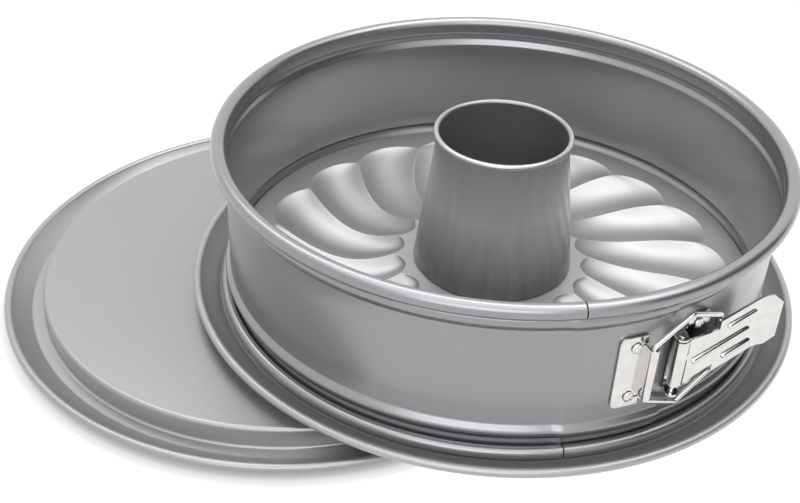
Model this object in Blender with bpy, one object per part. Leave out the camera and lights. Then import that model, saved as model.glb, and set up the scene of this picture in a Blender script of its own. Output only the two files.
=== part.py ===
"""Springform pan with a tube base and a spare flat base, each base with a drip tray.

Metres, +Z up. The table is z = 0 and the spare base lies on it. The pan stands
on the spare base's flat top with one side of its tray and with its flutes, so it
tips a little away from the spare base. The band, the two bases and the tube are
pressed steel sheet. The clasp is a lever on a pin, with a wire bail that draws
the two ends of the band together. Heights of the pan's pieces are from the
underside of its own tray.
"""

import math

import bmesh
import bpy
from mathutils import Matrix, Vector

MM = 0.001

# Clearance between pieces that touch on the real pan
TOUCH = 0.3 * MM

# Band: the side wall of the pan
BAND_INNER_RADIUS = 131.5 * MM
BAND_SHEET = 0.5 * MM
RIM_HEIGHT = 79.7 * MM
RIM_ROLL_RADIUS = 3.1 * MM
CURL_RADIUS = 2.8 * MM
UPPER_BEAD_BOTTOM = 68.3 * MM
UPPER_BEAD_HEIGHT = 6.0 * MM
UPPER_BEAD_DEPTH = 1.4 * MM
GROOVE_BOTTOM = 8.3 * MM
GROOVE_HEIGHT = 9.4 * MM
GROOVE_DEPTH = 2.4 * MM
TONGUE_BOTTOM = 7.5 * MM
TONGUE_TOP = 75.3 * MM
SEAM_ANGLE = math.radians(-79.2)
TONGUE_ANGLE = math.radians(18.8)
JOGGLE_ANGLE = math.radians(2.6)
SEAM_GAP = 0.35 * MM

# Bases: the raised top, which fits in the band, and the drip tray, whose flat
# floor carries the band's bottom curl
BASE_SHEET = 0.6 * MM
BASE_FIT = 0.5 * MM
BASE_TOP_HEIGHT = 11.4 * MM
SPARE_EDGE_RADIUS = 1.8 * MM
TUBE_BASE_EDGE_RADIUS = 0.9 * MM
FLOOR_CORNER = 1.3 * MM
FLOOR_WIDTH = 6.0 * MM
TRAY_FLARE = 11.2 * MM
TRAY_ROLL_HEIGHT = 5.9 * MM
TRAY_ROLL_RADIUS = 2.3 * MM
TRAY_ROLL_START = math.radians(165)
TRAY_ROLL_END = -math.radians(125)

# Fluted ring of the tube base, with its border to the edge of the raised top.
# The skews move the deepest place of troughs and ridges inwards.
FLUTES = 18
FLUTE_BORDER = 11.0 * MM
FLUTE_FIELD_MARGIN = 2.0 * MM
FLUTE_OUTER_CUSP = 7.0 * MM
FLUTE_INNER_RADIUS = 46.0 * MM
FLUTE_INNER_CUSP = 3.0 * MM
FLUTE_SWIRL = math.radians(13.0)
FLUTE_START = math.radians(10.0)
FLUTE_CLEARANCE = 1.8 * MM
RIDGE_DIP = 5.6 * MM
TROUGH_SKEW = 1.2
TROUGH_FULLNESS = 0.7
RIDGE_SKEW = 1.35

# Tube
TUBE_SHEET = 0.6 * MM
TUBE_FOOT_RADIUS = 40.0 * MM
TUBE_NECK_STEP = 0.9 * MM
TUBE_FLANGE = 2.9 * MM
TUBE_TOP_HEIGHT = 82.0 * MM
TUBE_ROLL_CENTRE = 32.3 * MM
TUBE_ROLL_RADIUS = 1.4 * MM
TUBE_ROLL_END = -math.radians(120)

# Places of the two bases: the spare one is left of and behind the pan
BASE_SPACING_X = 98.5 * MM
BASE_SPACING_Y = 9.0 * MM
PAN_TILT = math.radians(1.7)

# Clasp: heights from its own middle, angles round the pan's axis
CLASP_HEIGHT = 42.1 * MM
CLASP_SHEET = 1.0 * MM
RIVET_SHANK_RADIUS = 1.4 * MM
RIVET_HEAD_RADIUS = 2.5 * MM
RIVET_HEAD_HEIGHT = 1.1 * MM
RIVET_HEAD_RIM = 0.4 * MM
RIVET_TAIL_RADIUS = 2.4 * MM
RIVET_TAIL_HEIGHT = 0.6 * MM

CATCH_LEFT_ANGLE = math.radians(-71.2)
CATCH_RIVET_ANGLE = math.radians(-67.9)
CATCH_HALF_HEIGHT = 18.4 * MM
CATCH_CORNER = 3.0 * MM
CATCH_RIVET_RISE = 12.9 * MM
CATCH_LOBE = 2.1 * MM
KNUCKLE_ANGLE = math.radians(-65.3)
KNUCKLE_STANDOFF = 4.4 * MM
KNUCKLE_HALF_HEIGHT = 13.3 * MM

WIRE_RADIUS = 1.0 * MM
BAIL_BEND_ANGLE = math.radians(-57.4)
BAIL_BEND_STANDOFF = 3.6 * MM
BAIL_BEND_RISE = 23.6 * MM
BAIL_CORNER = 2.6 * MM
BAIL_HOOK_LENGTH = 3.6 * MM

PIVOT_ANGLE = math.radians(-59.35)
LEVER_STANDOFF = 7.4 * MM
LEVER_TURN = math.radians(10.0)
LEVER_HALF_WIDTH = 13.5 * MM
LEVER_ROLL_TOP = 13.5 * MM
LEVER_ROLL_BOTTOM = 10.0 * MM
LEVER_WAIST = 9.2 * MM
LEVER_EAR_PLACE = 23.0 * MM
LEVER_BEND_PLACE = 54.0 * MM
LEVER_LENGTH = 64.5 * MM
LEVER_TIP_BEND = math.radians(30.0)
LEVER_TIP_HALF_WIDTH = 8.5 * MM
LEVER_TIP_CHAMFER = 5.0 * MM
LEVER_CORNER = 2.0 * MM
EAR_DEPTH = 2.4 * MM
EAR_CLEARANCE = 0.5 * MM
EAR_INSET = 0.05 * MM
RIB_RADIUS = 1.3 * MM
RIB_ROOT = 0.3 * MM
RIB_SPACING = 8.0 * MM
SHORT_RIB = (30.0 * MM, 47.0 * MM)
LONG_RIB = (8.0 * MM, 44.0 * MM)
PIN_RADIUS = 1.0 * MM
PIN_HEAD_RADIUS = 1.5 * MM
PIN_HEAD_HEIGHT = 0.4 * MM

BRACKET_SPAN = math.radians(9.0)
BRACKET_TONGUE_GAP = 0.45 * MM
BRACKET_HALF_HEIGHT = 20.0 * MM
BRACKET_NECK_HALF_HEIGHT = 14.6 * MM
BRACKET_NECK_ANGLE = math.radians(3.3)
BRACKET_CORNER = 3.0 * MM
BRACKET_RIVET_ANGLE = math.radians(-54.4)
BRACKET_RIVET_RISE = 15.4 * MM
FLANGE_MARGIN = 1.6 * MM

# Facets: how finely the round shapes are divided
FLUTE_STEPS = 5
TURN_STEPS = FLUTES * FLUTE_STEPS // 2
TUBE_STEPS = 36
ROLL_STEP = math.radians(56)
BORE_STEPS = 16
PLATE_SLICE = 5.0 * MM

# How far a form is sunk into the piece that it is joined to
SINK = 0.1 * MM

# Sizes worked out from those above
BAND_OUTER_RADIUS = BAND_INNER_RADIUS + BAND_SHEET
BAND_INNER_FLAT = BAND_INNER_RADIUS * math.cos(math.pi / TURN_STEPS)
TONGUE_SHIFT = BAND_SHEET + TOUCH
TONGUE_OUTER_RADIUS = BAND_OUTER_RADIUS + TONGUE_SHIFT
CATCH_INNER_RADIUS = TONGUE_OUTER_RADIUS + TOUCH
KNUCKLE_AXIS_RADIUS = CATCH_INNER_RADIUS + KNUCKLE_STANDOFF
BAIL_BEND_RADIUS = BAND_OUTER_RADIUS + BAIL_BEND_STANDOFF
LEVER_FACE_RADIUS = BAND_OUTER_RADIUS + LEVER_STANDOFF
BRACKET_INNER_RADIUS = BAND_OUTER_RADIUS + TOUCH
BRACKET_LEFT_ANGLE = SEAM_ANGLE + TONGUE_ANGLE + BRACKET_TONGUE_GAP / BRACKET_INNER_RADIUS
BASE_TOP_RADIUS = BAND_INNER_RADIUS - BASE_FIT
FLUTE_OUTER_RADIUS = BASE_TOP_RADIUS - FLUTE_BORDER
FLUTE_FIELD_RADIUS = FLUTE_OUTER_RADIUS + FLUTE_FIELD_MARGIN
FLOOR_START = BASE_TOP_RADIUS + FLOOR_CORNER
FLOOR_RADIUS = BAND_INNER_RADIUS + FLOOR_WIDTH
TRAY_ROLL_CENTRE = FLOOR_RADIUS + TRAY_FLARE

# How the pan leans: where the inner edge of its tray's floor leaves the spare base's
# flat top, measured from the pan's axis, and how high that leaves the pan's axis
TO_PAN = Vector((BASE_SPACING_X, -BASE_SPACING_Y, 0.0))
SPARE_FLAT_RADIUS = BASE_TOP_RADIUS - SPARE_EDGE_RADIUS
SUPPORT_REACH = (FLOOR_START ** 2 - SPARE_FLAT_RADIUS ** 2 + TO_PAN.length ** 2) / (2 * TO_PAN.length)
PAN_HEIGHT = BASE_TOP_HEIGHT + TOUCH - SUPPORT_REACH * math.sin(PAN_TILT)
PAN_PLACE = TO_PAN / 2 + Vector((0.0, 0.0, PAN_HEIGHT))
SPARE_PLACE = -TO_PAN / 2


def clear_scene():
    for thing in list(bpy.data.objects):
        bpy.data.objects.remove(thing, do_unlink=True)


def material(name, colour, roughness, metallic):
    made = bpy.data.materials.new(name)
    made.use_nodes = True
    shader = made.node_tree.nodes["Principled BSDF"]
    shader.inputs["Base Color"].default_value = (*colour, 1.0)
    shader.inputs["Roughness"].default_value = roughness
    shader.inputs["Metallic"].default_value = metallic
    return made


def empty(name, place, parent=None):
    axis = bpy.data.objects.new(name, None)
    axis.location = place
    axis.parent = parent
    bpy.context.collection.objects.link(axis)
    return axis


def add_object(name, mesh, look, parent, place=(0, 0, 0), turn=0.0):
    made = bpy.data.objects.new(name, mesh)
    made.location = place
    made.rotation_euler = (0, 0, turn)
    made.parent = parent
    bpy.context.collection.objects.link(made)
    mesh.materials.append(look)
    mesh.shade_smooth()
    mesh.set_sharp_from_angle(angle=math.radians(35))
    return made


def to_mesh(name, bm):
    bmesh.ops.recalc_face_normals(bm, faces=bm.faces)
    mesh = bpy.data.meshes.new(name)
    bm.to_mesh(mesh)
    bm.free()
    return mesh


def boolean(target, tool_mesh, operation, place=(0, 0, 0), turn=0.0):
    """Cut, join or keep the common part, and bake the result into the target."""
    tool = bpy.data.objects.new("tool", tool_mesh)
    tool.parent = target.parent
    tool.location = place
    tool.rotation_euler = (0, 0, turn)
    bpy.context.collection.objects.link(tool)
    tool.hide_render = True
    tool.display_type = "WIRE"
    modifier = target.modifiers.new(operation.lower(), "BOOLEAN")
    modifier.operation = operation
    modifier.object = tool
    bpy.context.view_layer.update()
    seen = target.evaluated_get(bpy.context.evaluated_depsgraph_get())
    baked = bpy.data.meshes.new_from_object(seen)
    old = target.data
    target.modifiers.remove(modifier)
    target.data = baked
    bpy.data.meshes.remove(old)
    bpy.data.objects.remove(tool, do_unlink=True)
    bpy.data.meshes.remove(tool_mesh)


def arc(centre, radius, start, end, step=ROLL_STEP):
    """Points on a circle from start to end, in radians, both ends included."""
    count = max(2, math.ceil(abs(end - start) / step))
    points = []
    for index in range(count + 1):
        angle = start + (end - start) * index / count
        points.append((centre[0] + radius * math.cos(angle), centre[1] + radius * math.sin(angle)))
    return points


def offset_chain(chain, distance):
    """The chain moved sideways by the distance: to its left when positive."""
    moved = []
    for index, point in enumerate(chain):
        normals = []
        for a, b in ((index - 1, index), (index, index + 1)):
            if a >= 0 and b < len(chain):
                run = Vector(chain[b]) - Vector(chain[a])
                normals.append(Vector((-run.y, run.x)).normalized())
        mitre = sum(normals, Vector((0, 0)))
        mitre = mitre * (len(normals) / mitre.length_squared)
        moved.append(tuple(Vector(point) + mitre * distance))
    return moved


def sheet_loop(chain, distance):
    """Closed outline of a sheet whose one face is the chain."""
    return list(chain) + offset_chain(chain, distance)[::-1]


def spin_point(point, angle):
    return (point[0] * math.cos(angle), point[0] * math.sin(angle), point[1])


def bridge_rings(bm, low, high, closed):
    """Quads between two rings of equal length; a single vertex counts as a ring."""
    count = max(len(low), len(high))
    for index in range(count if closed else count - 1):
        after = (index + 1) % count
        corners = [low[index % len(low)], low[after % len(low)]]
        corners += [high[after % len(high)], high[index % len(high)]]
        unique = list(dict.fromkeys(corners))
        if len(unique) > 2:
            bm.faces.new(unique)


def turned(name, loop, steps):
    """A closed outline spun all the way round the Z axis."""
    bm = bmesh.new()
    rings = []
    for point in loop:
        if point[0] < TOUCH:
            rings.append([bm.verts.new((0, 0, point[1]))])
        else:
            ring = [bm.verts.new(spin_point(point, math.tau * step / steps)) for step in range(steps)]
            rings.append(ring)
    for index, ring in enumerate(rings):
        bridge_rings(bm, ring, rings[(index + 1) % len(rings)], True)
    return to_mesh(name, bm)


def prism(name, outline, low, high):
    """A flat outline in X and Y, extruded from low to high in Z."""
    bm = bmesh.new()
    bottom = [bm.verts.new((x, y, low)) for x, y in outline]
    top = [bm.verts.new((x, y, high)) for x, y in outline]
    bm.faces.new(bottom[::-1])
    bm.faces.new(top)
    bridge_rings(bm, bottom, top, True)
    return to_mesh(name, bm)


def rounded(corners, radius, steps=4):
    """An outline with its listed corners rounded; a corner is (x, y, rounded or not)."""
    points = []
    count = len(corners)
    for index, (x, y, soft) in enumerate(corners):
        here = Vector((x, y))
        if not soft:
            points.append((x, y))
            continue
        before = (Vector(corners[index - 1][:2]) - here).normalized()
        after = (Vector(corners[(index + 1) % count][:2]) - here).normalized()
        points += corner_arc(here, before, after, radius, steps)
    return points


def corner_arc(here, before, after, radius, steps):
    """Points of a fillet at a corner between two unit directions."""
    half = before.angle(after) / 2
    start = here + before * (radius / math.tan(half))
    end = here + after * (radius / math.tan(half))
    centre = here + (before + after).normalized() * (radius / math.sin(half))
    points = []
    for step in range(steps + 1):
        arm = (start - centre).lerp(end - centre, step / steps)
        points.append(tuple(centre + arm.normalized() * radius))
    return points


def carry(mesh, matrix):
    """Moves a mesh, and turns its faces back out where the move mirrors it."""
    mesh.transform(matrix)
    if matrix.determinant() < 0:
        mesh.flip_normals()


def cylinder(name, radius, low, high, steps=BORE_STEPS):
    outline = arc((0.0, 0.0), radius, 0.0, math.tau, math.tau / (steps - 0.5))[:-1]
    return prism(name, outline, low, high)


def around(radius, angle, height=0.0):
    """A place by its distance from the pan's axis, its angle and its height."""
    return Vector((radius * math.cos(angle), radius * math.sin(angle), height))


def base_chain(start_radius, edge):
    """Upper face of a base from start_radius out to the tip of the tray's rolled edge."""
    chain = [(start_radius, BASE_TOP_HEIGHT)]
    chain += arc((BASE_TOP_RADIUS - edge, BASE_TOP_HEIGHT - edge), edge, math.pi / 2, 0.0)
    chain += [(BASE_TOP_RADIUS, BASE_SHEET + FLOOR_CORNER), (FLOOR_START, BASE_SHEET)]
    chain += [(FLOOR_RADIUS, BASE_SHEET)]
    roll_centre = (TRAY_ROLL_CENTRE, TRAY_ROLL_HEIGHT)
    chain += arc(roll_centre, TRAY_ROLL_RADIUS, TRAY_ROLL_START, TRAY_ROLL_END)
    return chain


def spare_base(look):
    loop = sheet_loop(base_chain(0.0, SPARE_EDGE_RADIUS), -BASE_SHEET)
    mesh = turned("flat_base", loop, TURN_STEPS)
    return add_object("flat_base", mesh, look, None, SPARE_PLACE)


def flute_point(turn, across, along):
    """Upper face of the fluted ring. across runs -1 to 1 from ridge to ridge of one
    flute and along runs 0 to 1 from its outer end to its inner end."""
    outer = FLUTE_OUTER_RADIUS - FLUTE_OUTER_CUSP * across ** 2
    inner = FLUTE_INNER_RADIUS + FLUTE_INNER_CUSP * across ** 2
    radius = outer + (inner - outer) * along
    ridge_run = FLUTE_OUTER_RADIUS - FLUTE_OUTER_CUSP - FLUTE_INNER_RADIUS - FLUTE_INNER_CUSP
    inward = (FLUTE_OUTER_RADIUS - FLUTE_OUTER_CUSP - radius) / ridge_run
    inward = min(1.0, max(0.0, inward))
    angle = FLUTE_START + turn + FLUTE_SWIRL * math.sin(inward * math.pi / 2)
    angle += across * math.pi / FLUTES
    deepest = BASE_TOP_HEIGHT - BASE_SHEET - FLUTE_CLEARANCE
    trough = deepest * max(0.0, math.sin(math.pi * along ** TROUGH_SKEW)) ** TROUGH_FULLNESS
    ridge = RIDGE_DIP * max(0.0, math.sin(math.pi * along ** RIDGE_SKEW))
    dip = trough + (ridge - trough) * across ** 2
    return (radius * math.cos(angle), radius * math.sin(angle), BASE_TOP_HEIGHT - dip)


def fluted_side(bm, drop):
    """Rings of one face of the fluted ring, outermost first."""
    stations = (0.0, 0.06, 0.18, 0.36, 0.56, 0.76, 0.92, 1.0)
    rings = []
    for along in stations:
        ring = []
        for flute in range(FLUTES):
            turn = math.tau * (flute + 0.5) / FLUTES
            for step in range(FLUTE_STEPS):
                x, y, z = flute_point(turn, 2 * step / FLUTE_STEPS - 1, along)
                ring.append(bm.verts.new((x, y, z - drop)))
        rings.append(ring)
    for outer, inner in zip(rings, rings[1:]):
        bridge_rings(bm, outer, inner, True)
    return rings


def tray_side(bm, chain, start):
    """Rings of one face of the tray, from the fluted ring outwards."""
    angles = [start + math.tau * step / TURN_STEPS for step in range(TURN_STEPS)]
    rings = []
    for point in chain:
        rings.append([bm.verts.new(spin_point(point, angle)) for angle in angles])
    for inner, outer in zip(rings, rings[1:]):
        bridge_rings(bm, inner, outer, True)
    return rings


def join_coarse(bm, fine, coarse):
    """Joins a ring of twice as many points to a coarser ring."""
    count = len(coarse)
    for index in range(count):
        a, b, c = (fine[(2 * index + k) % len(fine)] for k in range(3))
        here, after = coarse[index], coarse[(index + 1) % count]
        bm.faces.new((a, b, here))
        bm.faces.new((b, c, after))
        bm.faces.new((b, after, here))


def tube_base(look, parent):
    """The fluted base: one sheet from the tube's hole to the tray's rolled edge."""
    bm = bmesh.new()
    start = FLUTE_START
    upper_chain = base_chain(FLUTE_FIELD_RADIUS, TUBE_BASE_EDGE_RADIUS)
    lower_chain = offset_chain(upper_chain, -BASE_SHEET)
    hole = TUBE_FOOT_RADIUS - TUBE_NECK_STEP + TOUCH
    hole_start = start + FLUTE_SWIRL
    upper_hole = tray_side(bm, [(hole, BASE_TOP_HEIGHT)], hole_start)[0]
    lower_hole = tray_side(bm, [(hole, BASE_TOP_HEIGHT - BASE_SHEET)], hole_start)[0]
    upper_field = fluted_side(bm, 0.0)
    lower_field = fluted_side(bm, BASE_SHEET)
    upper_tray = tray_side(bm, upper_chain, start)
    lower_tray = tray_side(bm, lower_chain, start)
    join_coarse(bm, upper_field[0], upper_tray[0])
    join_coarse(bm, lower_field[0], lower_tray[0])
    join_coarse(bm, upper_field[-1], upper_hole)
    join_coarse(bm, lower_field[-1], lower_hole)
    bridge_rings(bm, upper_tray[-1], lower_tray[-1], True)
    bridge_rings(bm, upper_hole, lower_hole, True)
    return add_object("tube_base", to_mesh("tube_base", bm), look, parent)


def tube(look, parent):
    """Cone with a rolled top; its foot is crimped over both faces of the base."""
    neck = TUBE_FOOT_RADIUS - TUBE_NECK_STEP
    under = BASE_TOP_HEIGHT - BASE_SHEET - TOUCH
    shoulder = BASE_TOP_HEIGHT + TOUCH
    skin_roll = TUBE_ROLL_RADIUS - TUBE_SHEET
    chain = [(neck + TUBE_FLANGE, under), (neck, under), (neck, shoulder), (TUBE_FOOT_RADIUS, shoulder)]
    chain += arc((TUBE_ROLL_CENTRE, TUBE_TOP_HEIGHT), skin_roll, math.pi, TUBE_ROLL_END)
    mesh = turned("tube", sheet_loop(chain, TUBE_SHEET), TUBE_STEPS)
    return add_object("tube", mesh, look, parent)


def bead_points(bottom, height, depth):
    """Points of a shallow outward bead in the wall."""
    wall = BAND_INNER_RADIUS
    return [
        (wall, bottom),
        (wall + 0.8 * depth, bottom + 0.2 * height),
        (wall + depth, bottom + 0.5 * height),
        (wall + 0.8 * depth, bottom + 0.8 * height),
        (wall, bottom + height),
    ]


def band_chain():
    """Inner face of the band from the tip of the bottom curl to the tip of the rim."""
    curl_centre = (BAND_INNER_RADIUS + CURL_RADIUS, BASE_SHEET + TOUCH + CURL_RADIUS)
    rim_centre = (BAND_INNER_RADIUS + RIM_ROLL_RADIUS, RIM_HEIGHT)
    curl = arc(curl_centre, CURL_RADIUS, math.radians(115), -math.pi)
    low = [(BAND_INNER_RADIUS, TONGUE_BOTTOM)]
    low += bead_points(GROOVE_BOTTOM, GROOVE_HEIGHT, GROOVE_DEPTH)
    high = bead_points(UPPER_BEAD_BOTTOM, UPPER_BEAD_HEIGHT, UPPER_BEAD_DEPTH)
    high += [(BAND_INNER_RADIUS, TONGUE_TOP)]
    rim = arc(rim_centre, RIM_ROLL_RADIUS, math.pi, -math.radians(135))
    chain = curl + low + high + rim
    first = len(curl)
    last = len(curl) + len(low) + len(high) - 1
    return chain, first, last


def band_ring(bm, inner, outer, angle, shift, first, last):
    """One cross-section of the band; only the tongue's part is shifted outwards."""
    rows = []
    for side in (inner, outer):
        row = []
        for index, (radius, height) in enumerate(side):
            moved = radius + (shift if first <= index <= last else 0.0)
            row.append(bm.verts.new(spin_point((moved, height), angle)))
        rows.append(row)
    return rows


def side_band(look, parent):
    """The band is one strip: its left end runs on past the seam as a tongue that lies
    outside the right end, while the rim and the bottom curl butt at the seam."""
    inner, first, last = band_chain()
    outer = offset_chain(inner, -BAND_SHEET)
    bm = bmesh.new()
    start = SEAM_ANGLE + SEAM_GAP / BAND_INNER_RADIUS
    end = SEAM_ANGLE + math.tau
    joggle = end - JOGGLE_ANGLE
    stations = [(start + (joggle - start) * k / (TURN_STEPS - 1), 0.0) for k in range(TURN_STEPS)]
    stations.append((end, TONGUE_SHIFT))
    body = [band_ring(bm, inner, outer, angle, shift, first, last) for angle, shift in stations]
    for here, after in zip(body, body[1:]):
        bridge_rings(bm, here[0] + here[1][::-1], after[0] + after[1][::-1], True)
    bm.faces.new(body[0][0] + body[0][1][::-1])
    seam = body[-1]
    bm.faces.new(seam[0][last:] + seam[1][last:][::-1])
    bm.faces.new(seam[0][: first + 1] + seam[1][: first + 1][::-1])
    tongue_steps = 4
    part = slice(first, last + 1)
    previous = seam[0][part] + seam[1][part][::-1]
    for step in range(1, tongue_steps + 1):
        angle = end + TONGUE_ANGLE * step / tongue_steps
        rows = []
        for side in (inner, outer):
            points = [(radius + TONGUE_SHIFT, height) for radius, height in side[part]]
            rows.append([bm.verts.new(spin_point(point, angle)) for point in points])
        current = rows[0] + rows[1][::-1]
        bridge_rings(bm, previous, current, True)
        previous = current
    bm.faces.new(previous)
    band = add_object("side_band", to_mesh("side_band", bm), look, parent)
    gap_middle = BAND_OUTER_RADIUS + TOUCH / 2
    for rise in (CATCH_RIVET_RISE, -CATCH_RIVET_RISE):
        drill_for_rivet(band, CATCH_RIVET_ANGLE, rise, gap_middle, TONGUE_OUTER_RADIUS + TOUCH)
    for rise in (BRACKET_RIVET_RISE, -BRACKET_RIVET_RISE):
        inside = BAND_INNER_FLAT - TOUCH
        drill_for_rivet(band, BRACKET_RIVET_ANGLE, rise, inside, BAND_OUTER_RADIUS + TOUCH)
    return band


def radial_frame(angle, rise):
    """Turns +Z outwards at an angle round the pan, at a height from the clasp's middle."""
    outward = around(1.0, angle)
    frame = outward.to_track_quat("Z", "Y").to_matrix().to_4x4()
    frame.translation = Vector((0, 0, CLASP_HEIGHT + rise))
    return frame


def drill_for_rivet(target, angle, rise, start, end):
    """A radial rivet hole between two distances from the pan's axis."""
    mesh = cylinder("drill", RIVET_SHANK_RADIUS + TOUCH, start, end)
    mesh.transform(radial_frame(angle, rise))
    boolean(target, mesh, "DIFFERENCE")


def rivet(name, look, parent, angle, rise, sheet_outer, tail):
    """A domed head outside, a shank, and a tail that is flush or a flat head inside."""
    dome_steps = 4
    outline = [(0.0, tail[0])]
    if tail[1]:
        seat = BAND_INNER_FLAT - TOUCH
        outline += [(RIVET_TAIL_RADIUS, tail[0]), (RIVET_TAIL_RADIUS, seat), (RIVET_SHANK_RADIUS, seat)]
    else:
        outline.append((RIVET_SHANK_RADIUS, tail[0]))
    head_seat = sheet_outer + TOUCH
    outline += [(RIVET_SHANK_RADIUS, head_seat), (RIVET_HEAD_RADIUS, head_seat)]
    for step in range(dome_steps):
        angle_on_dome = math.pi / 2 * step / dome_steps
        swell = (RIVET_HEAD_HEIGHT - RIVET_HEAD_RIM) * math.sin(angle_on_dome)
        outline.append((RIVET_HEAD_RADIUS * math.cos(angle_on_dome), head_seat + RIVET_HEAD_RIM + swell))
    outline.append((0.0, head_seat + RIVET_HEAD_HEIGHT))
    mesh = turned(name, outline, BORE_STEPS)
    mesh.transform(radial_frame(angle, rise))
    return add_object(name, mesh, look, parent)


def curved_plate(name, outline, inner_radius):
    """A flat outline, (distance round the pan, height), wrapped onto a cylinder."""
    bm = bmesh.new()
    bm.faces.new([bm.verts.new((x, y, 0)) for x, y in outline])
    left = min(x for x, y in outline)
    right = max(x for x, y in outline)
    count = math.ceil((right - left) / PLATE_SLICE)
    for index in range(1, count):
        place = left + (right - left) * index / count
        whole = list(bm.verts) + list(bm.edges) + list(bm.faces)
        bmesh.ops.bisect_plane(bm, geom=whole, plane_co=(place, 0, 0), plane_no=(1, 0, 0))
    grown = bmesh.ops.extrude_face_region(bm, geom=list(bm.faces))
    raised = [item for item in grown["geom"] if isinstance(item, bmesh.types.BMVert)]
    for vert in raised:
        vert.co.z += CLASP_SHEET
    for vert in bm.verts:
        radius = inner_radius + vert.co.z
        angle = vert.co.x / inner_radius
        vert.co = Vector((radius * math.cos(angle), radius * math.sin(angle), CLASP_HEIGHT + vert.co.y))
    return to_mesh(name, bm)


def local_plan(radius, angle, frame_angle):
    """A plan point in a frame whose Y is the outward direction at frame_angle."""
    turn = angle - frame_angle
    return Vector((radius * math.sin(turn), radius * math.cos(turn)))


def plan_matrix(frame_angle):
    """Takes X round the pan, Y outwards and Z up, at frame_angle, to the pan's axes."""
    out = around(1.0, frame_angle)
    along = Vector((-out.y, out.x, 0))
    columns = Matrix((along, out, Vector((0, 0, 1)))).transposed()
    return columns.to_4x4()


def catch_bracket(look, parent):
    """Riveted plate, a web that stands out from its right edge and a rolled knuckle."""
    frame = CATCH_RIVET_ANGLE
    knuckle = local_plan(KNUCKLE_AXIS_RADIUS, KNUCKLE_ANGLE, frame)
    bore = WIRE_RADIUS + TOUCH
    web_right = knuckle.x - bore
    lobe_left = web_right - 2 * CLASP_SHEET
    lobe_rise = KNUCKLE_HALF_HEIGHT + CLASP_SHEET
    height = CATCH_HALF_HEIGHT
    left = (CATCH_LEFT_ANGLE - frame) * CATCH_INNER_RADIUS
    right = lobe_left + CATCH_LOBE
    corners = [
        (left, -height, True), (right, -height, False), (right, -lobe_rise, False),
        (lobe_left, -lobe_rise, False), (lobe_left, lobe_rise, False), (right, lobe_rise, False),
        (right, height, False), (left, height, True),
    ]
    outline = [(x + frame * CATCH_INNER_RADIUS, y) for x, y in rounded(corners, CATCH_CORNER)]
    plate = curved_plate("catch_bracket", outline, CATCH_INNER_RADIUS)
    bracket = add_object("catch_bracket", plate, look, parent)
    overlap = 2 * CLASP_SHEET
    floor = CATCH_INNER_RADIUS + SINK
    bend = CLASP_SHEET
    chain = [(lobe_left - overlap, floor), (web_right - bend, floor)]
    chain += arc((web_right - bend, floor + bend), bend, -math.pi / 2, 0.0, math.radians(30))[1:]
    chain += arc(tuple(knuckle), bore, math.pi, -math.radians(100), math.radians(28))
    loop = sheet_loop(chain, CLASP_SHEET - 2 * SINK)
    hook = prism("hook", loop, -KNUCKLE_HALF_HEIGHT, KNUCKLE_HALF_HEIGHT)
    carry(hook, Matrix.Translation((0, 0, CLASP_HEIGHT)) @ plan_matrix(frame))
    boolean(bracket, hook, "UNION")
    for rise in (CATCH_RIVET_RISE, -CATCH_RIVET_RISE):
        inside = CATCH_INNER_RADIUS - TOUCH / 2
        drill_for_rivet(bracket, CATCH_RIVET_ANGLE, rise, inside, CATCH_INNER_RADIUS + CLASP_SHEET + TOUCH)
    return bracket


def lever_axes():
    """Pivot of the lever and its two directions, in the pan's plan."""
    outward = around(1.0, PIVOT_ANGLE).xy
    tangent = Vector((-outward.y, outward.x))
    along = tangent * math.cos(LEVER_TURN) - outward * math.sin(LEVER_TURN)
    face = tangent * math.sin(LEVER_TURN) + outward * math.cos(LEVER_TURN)
    roll = PIN_RADIUS + TOUCH + CLASP_SHEET
    pivot = outward * LEVER_FACE_RADIUS - face * roll
    return pivot, along, face


def lever_matrix():
    """Takes X along the lever, Y out of its face and Z up to the pan's axes."""
    pivot, along, face = lever_axes()
    columns = Matrix((along.to_3d(), face.to_3d(), Vector((0, 0, 1)))).transposed()
    return columns.to_4x4()


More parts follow.
